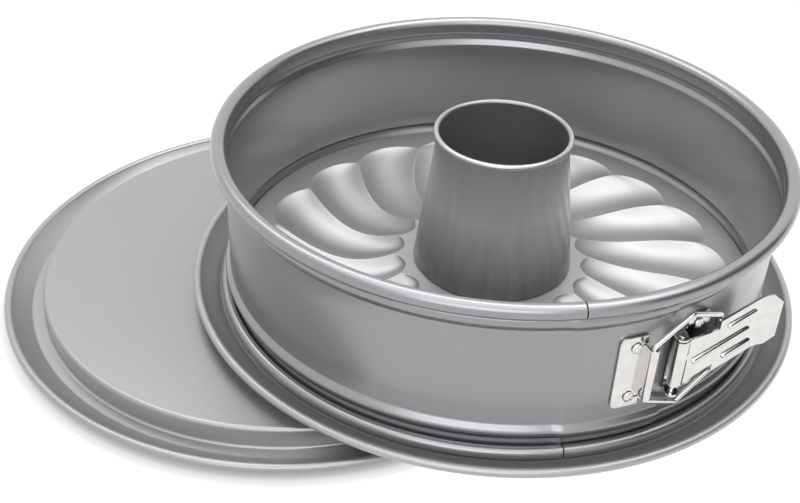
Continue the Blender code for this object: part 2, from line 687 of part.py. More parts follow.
def lever(look, axis):
    """Pressed handle: rolled round the pin, two ears for the bail and three ribs."""
    bore = PIN_RADIUS + TOUCH
    tip = LEVER_LENGTH - LEVER_BEND_PLACE
    chain = arc((0, 0), bore, math.radians(-20), math.radians(-270), math.radians(30))
    end = LEVER_BEND_PLACE + tip * math.cos(LEVER_TIP_BEND)
    chain += [(LEVER_BEND_PLACE, bore), (end, bore + tip * math.sin(LEVER_TIP_BEND))]
    loop = sheet_loop(chain, CLASP_SHEET)
    mesh = prism("lever", loop, -LEVER_HALF_WIDTH, LEVER_HALF_WIDTH)
    made = add_object("lever", mesh, look, axis)
    reach = 2 * LEVER_HALF_WIDTH
    ear = LEVER_EAR_PLACE
    roll = bore + CLASP_SHEET + TOUCH
    wide = LEVER_HALF_WIDTH + TOUCH
    corners = [
        (-roll, -LEVER_ROLL_BOTTOM, False), (roll, -LEVER_ROLL_BOTTOM, False), (ear, -LEVER_WAIST, False),
        (ear, -wide, False), (end - LEVER_TIP_CHAMFER, -wide, True),
        (end + TOUCH, -LEVER_TIP_HALF_WIDTH, True), (end + TOUCH, LEVER_TIP_HALF_WIDTH, True),
        (end - LEVER_TIP_CHAMFER, wide, True), (ear, wide, False), (ear, LEVER_WAIST, False),
        (roll, LEVER_ROLL_TOP - TOUCH, False), (-roll, LEVER_ROLL_TOP - TOUCH, False),
    ]
    outline = rounded(corners, LEVER_CORNER, 3)
    blank = prism("blank", outline, -reach, reach)
    blank.transform(Matrix.Rotation(math.pi / 2, 4, "X"))
    boolean(made, blank, "INTERSECT")
    for side in (-1, 1):
        low, high = sorted((side * LEVER_WAIST, side * LEVER_HALF_WIDTH))
        shape = [(ear, bore + CLASP_SHEET / 2), (ear, -EAR_DEPTH / 2), (ear + CLASP_SHEET, -EAR_DEPTH / 2),
                 (ear + CLASP_SHEET, bore + CLASP_SHEET / 2)]
        ear_tab = prism("ear", [(x + EAR_INSET, y) for x, y in shape], low + EAR_INSET, high - EAR_INSET)
        boolean(made, ear_tab, "UNION")
    for start, finish, rise in ((*SHORT_RIB, RIB_SPACING), (*LONG_RIB, 0.0), (*SHORT_RIB, -RIB_SPACING)):
        boolean(made, rib(start, finish, rise, bore + CLASP_SHEET), "UNION")
    carry(made.data, lever_matrix())
    return made


def rib(start, finish, rise, surface):
    """A raised rib with round ends, sunk a little into the lever's face."""
    steps = 4
    levels = [(RIB_RADIUS, -RIB_ROOT)]
    levels += arc((0.0, SINK), RIB_RADIUS, 0.0, math.radians(75), math.radians(40))
    bm = bmesh.new()
    rings = []
    for radius, height in levels:
        ring = []
        for end, first in ((start, math.pi / 2), (finish, -math.pi / 2)):
            for step in range(steps + 1):
                angle = first + math.pi * step / steps
                across = radius * math.sin(angle)
                ring.append(bm.verts.new((end + radius * math.cos(angle), surface + height, rise - across)))
        rings.append(ring)
    for low, high in zip(rings, rings[1:]):
        bridge_rings(bm, low, high, True)
    bm.faces.new(rings[0])
    bm.faces.new(rings[-1])
    return to_mesh("rib", bm)


def lever_pin(look, parent):
    """The hinge pin, with a small head over each flange."""
    pivot = lever_axes()[0]
    seat = BRACKET_NECK_HALF_HEIGHT + CLASP_SHEET / 2 + TOUCH
    top = seat + PIN_HEAD_HEIGHT
    outline = [
        (0.0, -top), (PIN_HEAD_RADIUS, -top), (PIN_HEAD_RADIUS, -seat), (PIN_RADIUS, -seat),
        (PIN_RADIUS, seat), (PIN_HEAD_RADIUS, seat), (PIN_HEAD_RADIUS, top), (0.0, top),
    ]
    mesh = turned("lever_pin", outline, BORE_STEPS)
    return add_object("lever_pin", mesh, look, parent, (pivot.x, pivot.y, CLASP_HEIGHT))


def hinge_bracket(look, parent):
    """Riveted plate with two flanges that hold the ends of the lever's pin."""
    radius = BRACKET_INNER_RADIUS
    left = BRACKET_LEFT_ANGLE * radius
    neck = left + BRACKET_NECK_ANGLE * radius
    right = left + BRACKET_SPAN * radius
    tall = BRACKET_HALF_HEIGHT
    low = BRACKET_NECK_HALF_HEIGHT
    corners = [
        (left, -low, False), (neck, -low, False), (neck, -tall, True), (right, -tall, True),
        (right, tall, True), (neck, tall, True), (neck, low, False), (left, low, False),
    ]
    plate = curved_plate("hinge_bracket", rounded(corners, BRACKET_CORNER, 3), radius)
    bracket = add_object("hinge_bracket", plate, look, parent)
    pivot = lever_axes()[0]
    frame = PIVOT_ANGLE
    out = around(1.0, frame).xy
    centre = Vector((out.cross(pivot), out.dot(pivot)))
    nose = PIN_RADIUS + TOUCH + FLANGE_MARGIN
    root = radius + CLASP_SHEET / 2
    edge = local_plan(root, BRACKET_LEFT_ANGLE, frame).x + TOUCH / 2
    flange = arc(tuple(centre), nose, math.pi, 0.0, math.radians(30))
    flange += [(centre.x + nose + FLANGE_MARGIN, root), (edge, root)]
    for side in (-1, 1):
        middle = side * BRACKET_NECK_HALF_HEIGHT
        shape = prism("flange", flange, middle - CLASP_SHEET / 2, middle + CLASP_SHEET / 2)
        carry(shape, Matrix.Translation((0, 0, CLASP_HEIGHT)) @ plan_matrix(frame))
        boolean(bracket, shape, "UNION")
    hole = cylinder("hole", PIN_RADIUS + TOUCH, CLASP_HEIGHT - 2 * tall, CLASP_HEIGHT + 2 * tall)
    hole.transform(Matrix.Translation((pivot.x, pivot.y, 0)))
    boolean(bracket, hole, "DIFFERENCE")
    for rise in (BRACKET_RIVET_RISE, -BRACKET_RIVET_RISE):
        outside = radius + CLASP_SHEET + TOUCH
        drill_for_rivet(bracket, BRACKET_RIVET_ANGLE, rise, radius - TOUCH / 2, outside)
    return bracket


def bail_path():
    """Centre line of the wire, from the lower hook round the knuckle to the upper hook."""
    pivot, along, face = lever_axes()
    place = LEVER_EAR_PLACE + CLASP_SHEET + EAR_CLEARANCE + WIRE_RADIUS
    hook = pivot + along * place
    knuckle = around(KNUCKLE_AXIS_RADIUS, KNUCKLE_ANGLE).xy
    bend = around(BAIL_BEND_RADIUS, BAIL_BEND_ANGLE).xy
    run = KNUCKLE_HALF_HEIGHT + TOUCH + WIRE_RADIUS
    leg = LEVER_HALF_WIDTH + TOUCH + WIRE_RADIUS
    half = [
        (knuckle.x, knuckle.y, run), (bend.x, bend.y, BAIL_BEND_RISE),
        (hook.x, hook.y, leg), (hook.x, hook.y, leg - BAIL_HOOK_LENGTH),
    ]
    upper = [Vector(point) for point in half]
    lower = [Vector((x, y, -z)) for x, y, z in half]
    return lower[::-1] + upper


def round_path(points, radius, steps):
    """The path with every inner corner replaced by an arc."""
    smooth = [points[0]]
    for before, here, after in zip(points, points[1:], points[2:]):
        back = (before - here).normalized()
        on = (after - here).normalized()
        half = back.angle(on) / 2
        reach = radius / math.tan(half)
        centre = here + (back + on).normalized() * (radius / math.sin(half))
        start = here + back * reach - centre
        end = here + on * reach - centre
        for step in range(steps + 1):
            smooth.append(centre + start.lerp(end, step / steps).normalized() * radius)
    smooth.append(points[-1])
    return smooth


def bail(look, axis):
    """Bent wire loop through the catch's knuckle, hooked behind the lever's ears."""
    knuckle = around(KNUCKLE_AXIS_RADIUS, KNUCKLE_ANGLE)
    points = round_path(bail_path(), BAIL_CORNER, 3)
    data = bpy.data.curves.new("bail", "CURVE")
    data.dimensions = "3D"
    data.bevel_depth = WIRE_RADIUS
    data.bevel_resolution = 2
    data.use_fill_caps = True
    spline = data.splines.new("POLY")
    spline.points.add(len(points) - 1)
    for item, place in zip(spline.points, points):
        item.co = (*(place - knuckle), 1.0)
    made = bpy.data.objects.new("bail", data)
    made.parent = axis
    bpy.context.collection.objects.link(made)
    data.materials.append(look)
    return made


def build():
    clear_scene()
    coating = (0.29, 0.295, 0.305)
    nickel = (0.78, 0.76, 0.72)
    spare_base(material("flat_base", coating, 0.38, 0.7))
    pan = empty("pan_place", PAN_PLACE)
    tilt_axis = Vector((0, 0, 1)).cross(TO_PAN)
    pan.rotation_euler = Matrix.Rotation(PAN_TILT, 3, tilt_axis).to_euler()
    tube_base(material("tube_base", coating, 0.38, 0.7), pan)
    tube(material("tube", coating, 0.38, 0.7), pan)
    side_band(material("side_band", coating, 0.38, 0.7), pan)
    catch_bracket(material("catch_bracket", nickel, 0.16, 1.0), pan)
    hinge_bracket(material("hinge_bracket", nickel, 0.16, 1.0), pan)
    catch_face = CATCH_INNER_RADIUS + CLASP_SHEET
    hinge_face = BRACKET_INNER_RADIUS + CLASP_SHEET
    flush = (BAND_OUTER_RADIUS + TOUCH, False)
    headed = (BAND_INNER_FLAT - TOUCH - RIVET_TAIL_HEIGHT, True)
    for end, side in (("upper", 1), ("lower", -1)):
        name = "catch_rivet_" + end
        look = material(name, nickel, 0.16, 1.0)
        rivet(name, look, pan, CATCH_RIVET_ANGLE, side * CATCH_RIVET_RISE, catch_face, flush)
        name = "hinge_rivet_" + end
        look = material(name, nickel, 0.16, 1.0)
        rivet(name, look, pan, BRACKET_RIVET_ANGLE, side * BRACKET_RIVET_RISE, hinge_face, headed)
    lever_pin(material("lever_pin", nickel, 0.16, 1.0), pan)
    pivot = lever_axes()[0]
    lever_axis = empty("lever_axis", (pivot.x, pivot.y, CLASP_HEIGHT), pan)
    lever(material("lever", nickel, 0.16, 1.0), lever_axis)
    knuckle = around(KNUCKLE_AXIS_RADIUS, KNUCKLE_ANGLE, CLASP_HEIGHT)
    bail_axis = empty("bail_axis", knuckle, pan)
    bail(material("bail", nickel, 0.14, 1.0), bail_axis)


build()
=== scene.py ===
import math

import bmesh
import bpy
from mathutils import Matrix, Vector

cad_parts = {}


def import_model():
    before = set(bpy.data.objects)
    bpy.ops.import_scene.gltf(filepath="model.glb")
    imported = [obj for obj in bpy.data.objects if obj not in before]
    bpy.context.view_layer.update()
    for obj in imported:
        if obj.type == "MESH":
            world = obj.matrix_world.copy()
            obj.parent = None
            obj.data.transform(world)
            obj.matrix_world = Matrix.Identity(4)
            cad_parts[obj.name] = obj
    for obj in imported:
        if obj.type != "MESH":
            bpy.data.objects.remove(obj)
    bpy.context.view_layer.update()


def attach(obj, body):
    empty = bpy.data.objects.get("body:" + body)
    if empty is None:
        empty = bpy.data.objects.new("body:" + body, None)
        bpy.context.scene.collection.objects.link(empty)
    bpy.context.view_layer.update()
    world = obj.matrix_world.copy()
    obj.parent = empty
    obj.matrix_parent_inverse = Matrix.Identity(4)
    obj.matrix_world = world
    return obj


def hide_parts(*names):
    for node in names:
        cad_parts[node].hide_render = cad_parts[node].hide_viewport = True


# Looks of a springform pan with a tube base, and of the spare flat base under it: the
# coated sheet metal with its soft pressed edges, the plated clasp, the studio and the camera.

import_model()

MM = 0.001
TOUCH = 0.3 * MM

# Band
BAND_INNER_RADIUS = 131.5 * MM
BAND_SHEET = 0.5 * MM
RIM_HEIGHT = 79.7 * MM
RIM_ROLL_RADIUS = 3.6 * MM
RIM_ROLL_HEIGHT = 79.0 * MM
RIM_ROLL_END = -math.radians(135)
CURL_RADIUS = 2.8 * MM
CURL_START = math.radians(115)
UPPER_BEAD_BOTTOM = 66.9 * MM
UPPER_BEAD_HEIGHT = 8.3 * MM
UPPER_BEAD_DEPTH = 1.8 * MM
UPPER_BEAD_SKEW = 1.0
UPPER_BEAD_FULLNESS = 0.8
GROOVE_BOTTOM = 8.3 * MM
GROOVE_HEIGHT = 9.4 * MM
GROOVE_DEPTH = 2.4 * MM
GROOVE_SKEW = 1.4
GROOVE_FULLNESS = 1.0
TONGUE_BOTTOM = 7.5 * MM
TONGUE_TOP = 75.3 * MM
SEAM_ANGLE = math.radians(-79.2)
TONGUE_ANGLE = math.radians(18.8)
JOGGLE_ANGLE = math.radians(2.6)
SEAM_GAP = 0.6 * MM

# Bases
BASE_SHEET = 0.6 * MM
BASE_FIT = 0.5 * MM
BASE_TOP_HEIGHT = 11.4 * MM
SPARE_EDGE_RADIUS = 1.8 * MM
TUBE_BASE_EDGE_RADIUS = 0.5 * MM
FLOOR_CORNER = 1.3 * MM
FLOOR_WIDTH = 6.0 * MM
TRAY_BEND = 1.6 * MM
TRAY_FLARE = 10.9 * MM
TRAY_ROLL_HEIGHT = 5.9 * MM
TRAY_ROLL_RADIUS = 2.05 * MM
TRAY_ROLL_START = math.radians(165)
TRAY_ROLL_END = -math.radians(125)

# Fluted ring of the tube base
FLUTES = 18
FLUTE_BORDER = 11.0 * MM
FLUTE_FIELD_MARGIN = 2.0 * MM
FLUTE_OUTER_CUSP = 7.0 * MM
FLUTE_INNER_RADIUS = 45.0 * MM
FLUTE_INNER_CUSP = 5.0 * MM
FLUTE_SWIRL = math.radians(13.0)
FLUTE_START = math.radians(10.0)
FLUTE_CLEARANCE = 1.8 * MM
FLUTE_LIP = 0.35 * MM
RIDGE_DIP = 5.6 * MM
RIDGE_SOFTNESS = 0.015
TROUGH_SKEW = 1.2
TROUGH_FULLNESS = 0.62
RIDGE_SKEW = 1.35

# Tube
TUBE_SHEET = 0.6 * MM
TUBE_FOOT_RADIUS = 40.0 * MM
TUBE_NECK_STEP = 0.9 * MM
TUBE_SHOULDER = 0.35 * MM
TUBE_FLANGE = 2.9 * MM
TUBE_TOP_HEIGHT = 82.0 * MM
TUBE_ROLL_CENTRE = 32.3 * MM
TUBE_ROLL_RADIUS = 1.4 * MM
TUBE_ROLL_END = -math.radians(120)

# Places of the two bases: the pan leans on the spare one
BASE_SPACING_X = 98.5 * MM
BASE_SPACING_Y = 9.0 * MM
PAN_TILT = math.radians(1.7)

# Clasp
CLASP_HEIGHT = 42.1 * MM
CLASP_SHEET = 1.0 * MM
EDGE_BEVEL = 0.14 * MM
EDGE_BEVEL_FROM = math.radians(40)
RIVET_SHANK_RADIUS = 1.4 * MM
RIVET_HEAD_RADIUS = 2.5 * MM
RIVET_HEAD_HEIGHT = 1.1 * MM
RIVET_RIM_HEIGHT = 0.3 * RIVET_HEAD_HEIGHT
RIVET_DOME_HEIGHT = 0.7 * RIVET_HEAD_HEIGHT
RIVET_TAIL_RADIUS = 2.4 * MM
RIVET_TAIL_HEIGHT = 0.6 * MM
STAR_POINTS = 4
STAR_DEPTH = 0.55 * MM
STAR_PLACE = 0.42
STAR_SPREAD = 0.2
STAR_LIMIT = 0.9
CATCH_LEFT_ANGLE = math.radians(-71.2)
CATCH_RIVET_ANGLE = math.radians(-67.9)
CATCH_HALF_HEIGHT = 18.4 * MM
CATCH_CORNER = 3.0 * MM
CATCH_RIVET_RISE = 12.9 * MM
CATCH_LOBE = 2.1 * MM
KNUCKLE_ANGLE = math.radians(-65.3)
KNUCKLE_STANDOFF = 4.4 * MM
KNUCKLE_HALF_HEIGHT = 13.3 * MM
KNUCKLE_END = -math.radians(100)
WIRE_RADIUS = 1.0 * MM
WIRE_PLATING = 0.15 * MM
BAIL_BEND_ANGLE = math.radians(-57.4)
BAIL_BEND_STANDOFF = 3.6 * MM
BAIL_BEND_RISE = 23.6 * MM
BAIL_CORNER = 2.6 * MM
BAIL_HOOK_LENGTH = 3.6 * MM
PIVOT_ANGLE = math.radians(-59.35)
LEVER_STANDOFF = 7.4 * MM
LEVER_TURN = math.radians(10.0)
LEVER_HALF_WIDTH = 13.5 * MM
LEVER_ROLL_TOP = 13.5 * MM
LEVER_ROLL_BOTTOM = 10.0 * MM
LEVER_WAIST = 9.2 * MM
LEVER_EAR_PLACE = 23.0 * MM
LEVER_BEND_PLACE = 54.0 * MM
LEVER_LENGTH = 63.0 * MM
LEVER_BEND_RADIUS = 12 * MM
LEVER_ROLL_SWELL = 0.4 * MM
LEVER_ROLL_START = math.radians(-20)
LEVER_ROLL_END = math.radians(-270)
LEVER_TIP_BEND = math.radians(30.0)
LEVER_TIP_HALF_WIDTH = 8.5 * MM
LEVER_TIP_CHAMFER = 5.0 * MM
LEVER_CORNER = 2.0 * MM
EAR_DEPTH = 2.4 * MM
EAR_CLEARANCE = 0.5 * MM
RIB_RADIUS = 1.3 * MM
RIB_ROOT = 0.3 * MM
RIB_HEIGHT = 0.92 * RIB_RADIUS
RIB_CREST = 0.12
RIB_SPACING = 8.0 * MM
SHORT_RIB = (30.0 * MM, 47.0 * MM)
LONG_RIB = (8.0 * MM, 44.0 * MM)
PIN_RADIUS = 1.0 * MM
PIN_HEAD_RADIUS = 1.5 * MM
PIN_HEAD_HEIGHT = 0.4 * MM
PIN_HEAD_EDGE = 0.25 * MM
BRACKET_SPAN = math.radians(9.0)
BRACKET_TONGUE_GAP = 0.45 * MM
BRACKET_HALF_HEIGHT = 20.0 * MM
BRACKET_NECK_HALF_HEIGHT = 14.6 * MM
BRACKET_NECK_ANGLE = math.radians(3.3)
BRACKET_CORNER = 3.0 * MM
BRACKET_RIVET_ANGLE = math.radians(-54.4)
BRACKET_RIVET_RISE = 15.4 * MM
FLANGE_MARGIN = 1.6 * MM

# Shapes that are joined into one piece of the clasp are out of line by this much, so
# that their faces don't lie in one plane
JOIN_INSET = 0.03 * MM

# Fineness of the round shapes
TURN_STEPS = 288
FLUTE_STEPS = TURN_STEPS // FLUTES
FLUTE_STATIONS = 34
TUBE_STEPS = 160
BEAD_STEPS = 18
WALL_STEPS = 6
JOGGLE_STEPS = 8
TONGUE_STEPS = 16
BORE_STEPS = 28
RIVET_STEPS = 2 * BORE_STEPS
RIVET_HEAD_STEPS = 9
RIB_END_STEPS = 8
RIB_RISE_STEPS = 6
BAIL_CORNER_STEPS = 10
WIRE_RESOLUTION = 6
PLATE_SLICE = 2 * MM
ROLL_STEP = math.radians(15)
CORNER_STEP = math.radians(18)
LOOP_STEP = math.radians(12)

# One more point this far beside each end of a fillet keeps the shading of the flats
FILLET_SUPPORT = 0.25 * MM

# Nearer to the axis than this, a turned outline meets it in one point
ON_AXIS = 0.001 * MM

# An edge that turns by more than its piece's crease is shaded sharp
SHEET_CREASE = math.radians(50)
FLUTED_CREASE = math.radians(60)
BAND_CREASE = math.radians(45)
RIVET_CREASE = math.radians(60)
PLATE_CREASE = math.radians(30)
PIN_CREASE = math.radians(40)

# Sizes worked out from those above
BAND_OUTER_RADIUS = BAND_INNER_RADIUS + BAND_SHEET
TONGUE_SHIFT = BAND_SHEET + TOUCH
TONGUE_OUTER_RADIUS = BAND_OUTER_RADIUS + TONGUE_SHIFT
CATCH_INNER_RADIUS = TONGUE_OUTER_RADIUS + TOUCH
KNUCKLE_AXIS_RADIUS = CATCH_INNER_RADIUS + KNUCKLE_STANDOFF
BAIL_BEND_RADIUS = BAND_OUTER_RADIUS + BAIL_BEND_STANDOFF
LEVER_FACE_RADIUS = BAND_OUTER_RADIUS + LEVER_STANDOFF
BRACKET_INNER_RADIUS = BAND_OUTER_RADIUS + TOUCH
BRACKET_LEFT_ANGLE = SEAM_ANGLE + TONGUE_ANGLE + BRACKET_TONGUE_GAP / BRACKET_INNER_RADIUS
BASE_TOP_RADIUS = BAND_INNER_RADIUS - BASE_FIT
FLUTE_OUTER_RADIUS = BASE_TOP_RADIUS - FLUTE_BORDER
FLUTE_FIELD_RADIUS = FLUTE_OUTER_RADIUS + FLUTE_FIELD_MARGIN
FLOOR_START = BASE_TOP_RADIUS + FLOOR_CORNER
FLOOR_RADIUS = BAND_INNER_RADIUS + FLOOR_WIDTH
TRAY_ROLL_CENTRE = FLOOR_RADIUS + TRAY_FLARE

# How the pan leans: where the inner edge of its tray's floor leaves the spare base's
# flat top, measured from the pan's axis, and how high that leaves the pan's axis
TO_PAN = Vector((BASE_SPACING_X, -BASE_SPACING_Y, 0.0))
SPARE_FLAT_RADIUS = BASE_TOP_RADIUS - SPARE_EDGE_RADIUS
CENTRE_GAP = TO_PAN.length
SUPPORT_REACH = (FLOOR_START ** 2 - SPARE_FLAT_RADIUS ** 2 + CENTRE_GAP ** 2) / (2 * CENTRE_GAP)
PAN_HEIGHT = BASE_TOP_HEIGHT + TOUCH - SUPPORT_REACH * math.sin(PAN_TILT)
PAN_PLACE = TO_PAN / 2 + Vector((0.0, 0.0, PAN_HEIGHT))
SPARE_PLACE = -TO_PAN / 2
TILT_AXIS = Vector((0, 0, 1)).cross(TO_PAN)
PAN_MATRIX = Matrix.Translation(PAN_PLACE) @ Matrix.Rotation(PAN_TILT, 4, TILT_AXIS)

# Camera, from the middle of the pan's rim, in the pan's axes
CAMERA_FROM_RIM = Vector((-46.8, -493.8, 272.4)) * MM
CAMERA_PITCH = math.radians(34.64)
CAMERA_ROLL = math.radians(2.68)
CAMERA_LENS = 52.83
CAMERA_SENSOR = 36.0
CAMERA_NEAR = 10 * MM

# Studio, in metres: the floor and how far round the object its painted shadow reaches, the
# lamps (name, place, size, watts and the point faced), the dark card and the world's light
FLOOR_SIZE = 6.0
FLOOR_DROP = 0.1 * MM
FLOOR_PAINT = (0.8, 0.8, 0.8, 1)
FLOOR_SHADE = (0.1, 0.1, 0.1, 1)
CONTACT_SHADOW = 7.0 * MM
OBJECT_MIDDLE = (0, 0, 0.04)
LAMPS = (
    ("overhead", (0.0, -0.05, 1.3), (1.8, 1.6), 11.0, (0.0, -0.05, 0.0)),
    ("back_strip", (0.15, 0.33, 1.25), (3.0, 0.35), 7.5, OBJECT_MIDDLE),
    ("front_fill", (-0.1, -1.3, 0.9), (1.2, 0.8), 6.0, OBJECT_MIDDLE),
)
FLAG_PLACE = (1.7, -0.25, 0.95)
FLAG_SIZE = (2.2, 1.6, 1.0)
FLAG_PAINT = (0.02, 0.02, 0.02, 1)
WORLD_LIGHT = 0.15

# Paint and metal, in linear colour
FLAT_BASE_COAT = (0.385, 0.38, 0.39)
TUBE_BASE_COAT = (0.45, 0.443, 0.452)
TUBE_COAT = (0.53, 0.525, 0.54)
# Colours of painted shade: the tube's darker foot and its dark inside
TUBE_FOOT_SHADE = (0.09, 0.088, 0.093)
TUBE_INSIDE_SHADE = (0.3, 0.3, 0.305)
BAND_COAT = (0.315, 0.317, 0.33)
NICKEL = (0.77, 0.755, 0.735)
BASE_METAL = 0.6
BAND_METAL = 0.8
GLAZE_WEIGHT = 0.8
GLAZE_ROUGHNESS = 0.26
FLAT_BASE_ROUGHNESS = 0.38
TUBE_BASE_ROUGHNESS = 0.42
TUBE_ROUGHNESS = 0.30
BAND_ROUGHNESS = 0.30
PLATE_ROUGHNESS = 0.10
LEVER_ROUGHNESS = 0.12
RIVET_ROUGHNESS = 0.14
WIRE_ROUGHNESS = 0.09

# Noises of the paint and the metal: scale, detail and stretch
CLOUDS = (9.0, 3.0)
FLAKE = (2600.0, 1.0)
WEAR = (12.0, 1.0)
PEEL = (900.0, 1.0)
FOOT_SHADE_STREAKS = (260.0, 2.0, (1.0, 1.0, 0.03))
NICKEL_CLOUDS = (160.0, 3.0)
NICKEL_WAVES = (230.0, 2.0)
ROLLING_MARKS = (900.0, 2.0, (1.0, 1.0, 0.06))

# Limits of a noise's values: nearly all of them, or the usual ones
WIDE_RANGE = (0.1, 0.9)
USUAL_RANGE = (0.35, 0.65)

# Heights between which the painted shade at the tube's foot fades out, the share by which streaks
# shift that, and how far the skin lies before the axis that it faces to count as inside and get painted
# shade
FOOT_SHADE_BOTTOM = 14 * MM
FOOT_SHADE_TOP = 62 * MM
STREAK_SHIFT = 0.04
INSIDE_SHADE_REACH = 20 * MM

# Sockets of a Mix node that is set to colours
MIX_FACTOR = 0
MIX_FIRST = 6
MIX_SECOND = 7
MIX_RESULT = 2


# Outlines and meshes


def arc(centre, radius, start, end, step=ROLL_STEP):
    """Points on a circle from start to end, in radians, both ends included."""
    count = max(2, math.ceil(abs(end - start) / step))
    points = []
    for index in range(count + 1):
        angle = start + (end - start) * index / count
        points.append((centre[0] + radius * math.cos(angle), centre[1] + radius * math.sin(angle)))
    return points


def offset_chain(chain, distance):
    """The chain moved sideways by the distance: to its left when positive."""
    moved = []
    for index, point in enumerate(chain):
        normals = []
        for a, b in ((index - 1, index), (index, index + 1)):
            if a >= 0 and b < len(chain):
                run = Vector(chain[b]) - Vector(chain[a])
                normals.append(Vector((-run.y, run.x)).normalized())
        mitre = sum(normals, Vector((0, 0)))
        mitre = mitre * (len(normals) / mitre.length_squared)
        moved.append(tuple(Vector(point) + mitre * distance))
    return moved


def sheet_loop(chain, distance):
    """Closed outline of a sheet whose one face is the chain."""
    return list(chain) + offset_chain(chain, distance)[::-1]


def fillet(here, before, after, radius, steps):
    """Points of a fillet at a corner between two unit directions, flat or in space."""
    half = before.angle(after) / 2
    reach = radius / math.tan(half)
    centre = here + (before + after).normalized() * (radius / math.sin(half))
    start = here + before * reach - centre
    end = here + after * reach - centre
    return [centre + start.lerp(end, k / steps).normalized() * radius for k in range(steps + 1)]


def corner_arc(here, before, after, radius):
    """A flat fillet, with as many points as its turn needs."""
    steps = max(2, math.ceil((math.pi - before.angle(after)) / CORNER_STEP))
    return [tuple(point) for point in fillet(here, before, after, radius, steps)]


def legs(corners, index):
    """A corner's place and the unit directions to the corners before and after it."""
    wanted = (index, index - 1, index + 1)
    here, before, after = [Vector(corners[item % len(corners)][:2]) for item in wanted]
    return here, (before - here).normalized(), (after - here).normalized()


def soft_chain(corners):
    """An open chain with fillets; a corner is (x, y, fillet radius)."""
    points = []
    for index, (x, y, radius) in enumerate(corners):
        if radius == 0:
            points.append((x, y))
            continue
        here, before, after = legs(corners, index)
        bend = corner_arc(here, before, after, radius)
        points.append(tuple(Vector(bend[0]) + before * FILLET_SUPPORT))
        points += bend
        points.append(tuple(Vector(bend[-1]) + after * FILLET_SUPPORT))
    return points


def rounded(corners, radius):
    """A closed outline with its listed corners rounded; a corner is (x, y, rounded or not)."""
    points = []
    for index, (x, y, soft) in enumerate(corners):
        points += corner_arc(*legs(corners, index), radius) if soft else [(x, y)]
    return points


def mirrored(half):
    """All the corners of a plate from those of its lower half."""
    return half + [(x, -y, soft) for x, y, soft in half[::-1]]


def spin_point(point, angle):
    return (point[0] * math.cos(angle), point[0] * math.sin(angle), point[1])


def bridge_rings(bm, low, high):
    """Quads between two closed rings of equal length; one vertex counts as a ring."""
    count = max(len(low), len(high))
    for index in range(count):
        after = (index + 1) % count
        near = [low[index % len(low)], low[after % len(low)]]
        far = [high[after % len(high)], high[index % len(high)]]
        unique = list(dict.fromkeys(near + far))
        if len(unique) > 2:
            bm.faces.new(unique)


def to_mesh(name, bm):
    bmesh.ops.recalc_face_normals(bm, faces=bm.faces)
    mesh = bpy.data.meshes.new(name)
    bm.to_mesh(mesh)
    bm.free()
    return mesh


def turned(name, loop, steps):
    """A closed outline spun all the way round the Z axis."""
    bm = bmesh.new()
    rings = []
    for point in loop:
        if abs(point[0]) < ON_AXIS:
            rings.append([bm.verts.new((0, 0, point[1]))])
        else:
            rings.append([bm.verts.new(spin_point(point, math.tau * k / steps)) for k in range(steps)])
    for index, ring in enumerate(rings):
        bridge_rings(bm, ring, rings[(index + 1) % len(rings)])
    return to_mesh(name, bm)


def prism(name, outline, low, high):
    """A flat outline in X and Y, extruded from low to high in Z."""
    bm = bmesh.new()
    bottom = [bm.verts.new((x, y, low)) for x, y in outline]
    top = [bm.verts.new((x, y, high)) for x, y in outline]
    bm.faces.new(bottom[::-1])
    bm.faces.new(top)
    bridge_rings(bm, bottom, top)
    return to_mesh(name, bm)


def drill(radius, low, high):
    """A cylinder along Z to cut a round hole with."""
    outline = arc((0, 0), radius, 0.0, math.tau, math.tau / BORE_STEPS)[:-1]
    return prism("drill", outline, low, high)


def carry(mesh, matrix):
    """Moves a mesh, and turns its faces back out where the move mirrors it."""
    mesh.transform(matrix)
    if matrix.determinant() < 0:
        mesh.flip_normals()


def add_piece(name, mesh, look, body, node, crease):
    """A finished piece in place of one CAD node; its mesh is in the frame's axes."""
    made = bpy.data.objects.new(name, mesh)
    bpy.context.scene.collection.objects.link(made)
    mesh.materials.clear()
    mesh.materials.append(look)
    mesh.shade_smooth()
    mesh.set_sharp_from_angle(angle=crease)
    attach(made, body)
    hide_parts(node)
    return made


def boolean(mesh, tool_mesh, operation):
    """The mesh cut by, joined to or limited to the tool, as a new mesh."""
    target = bpy.data.objects.new("target", mesh)
    tool = bpy.data.objects.new("tool", tool_mesh)
    for item in (target, tool):
        bpy.context.scene.collection.objects.link(item)
    modifier = target.modifiers.new(operation.lower(), "BOOLEAN")
    modifier.operation = operation
    modifier.object = tool
    bpy.context.view_layer.update()
    seen = target.evaluated_get(bpy.context.evaluated_depsgraph_get())
    baked = bpy.data.meshes.new_from_object(seen)
    bpy.data.objects.remove(target, do_unlink=True)
    bpy.data.objects.remove(tool, do_unlink=True)
    bpy.data.meshes.remove(tool_mesh)
    return baked


def add_plate(name, mesh, look, body, node):
    """A piece of plate, with a small bevel that catches the light along its cut edges."""
    made = add_piece(name, mesh, look, body, node, PLATE_CREASE)
    bevel = made.modifiers.new("edges", "BEVEL")
    bevel.width = EDGE_BEVEL
    bevel.segments = 2
    bevel.limit_method = "ANGLE"
    bevel.angle_limit = EDGE_BEVEL_FROM
    bevel.use_clamp_overlap = True
    bevel.harden_normals = True


def around(radius, angle, height=0.0):
    return Vector((radius * math.cos(angle), radius * math.sin(angle), height))


# Bases


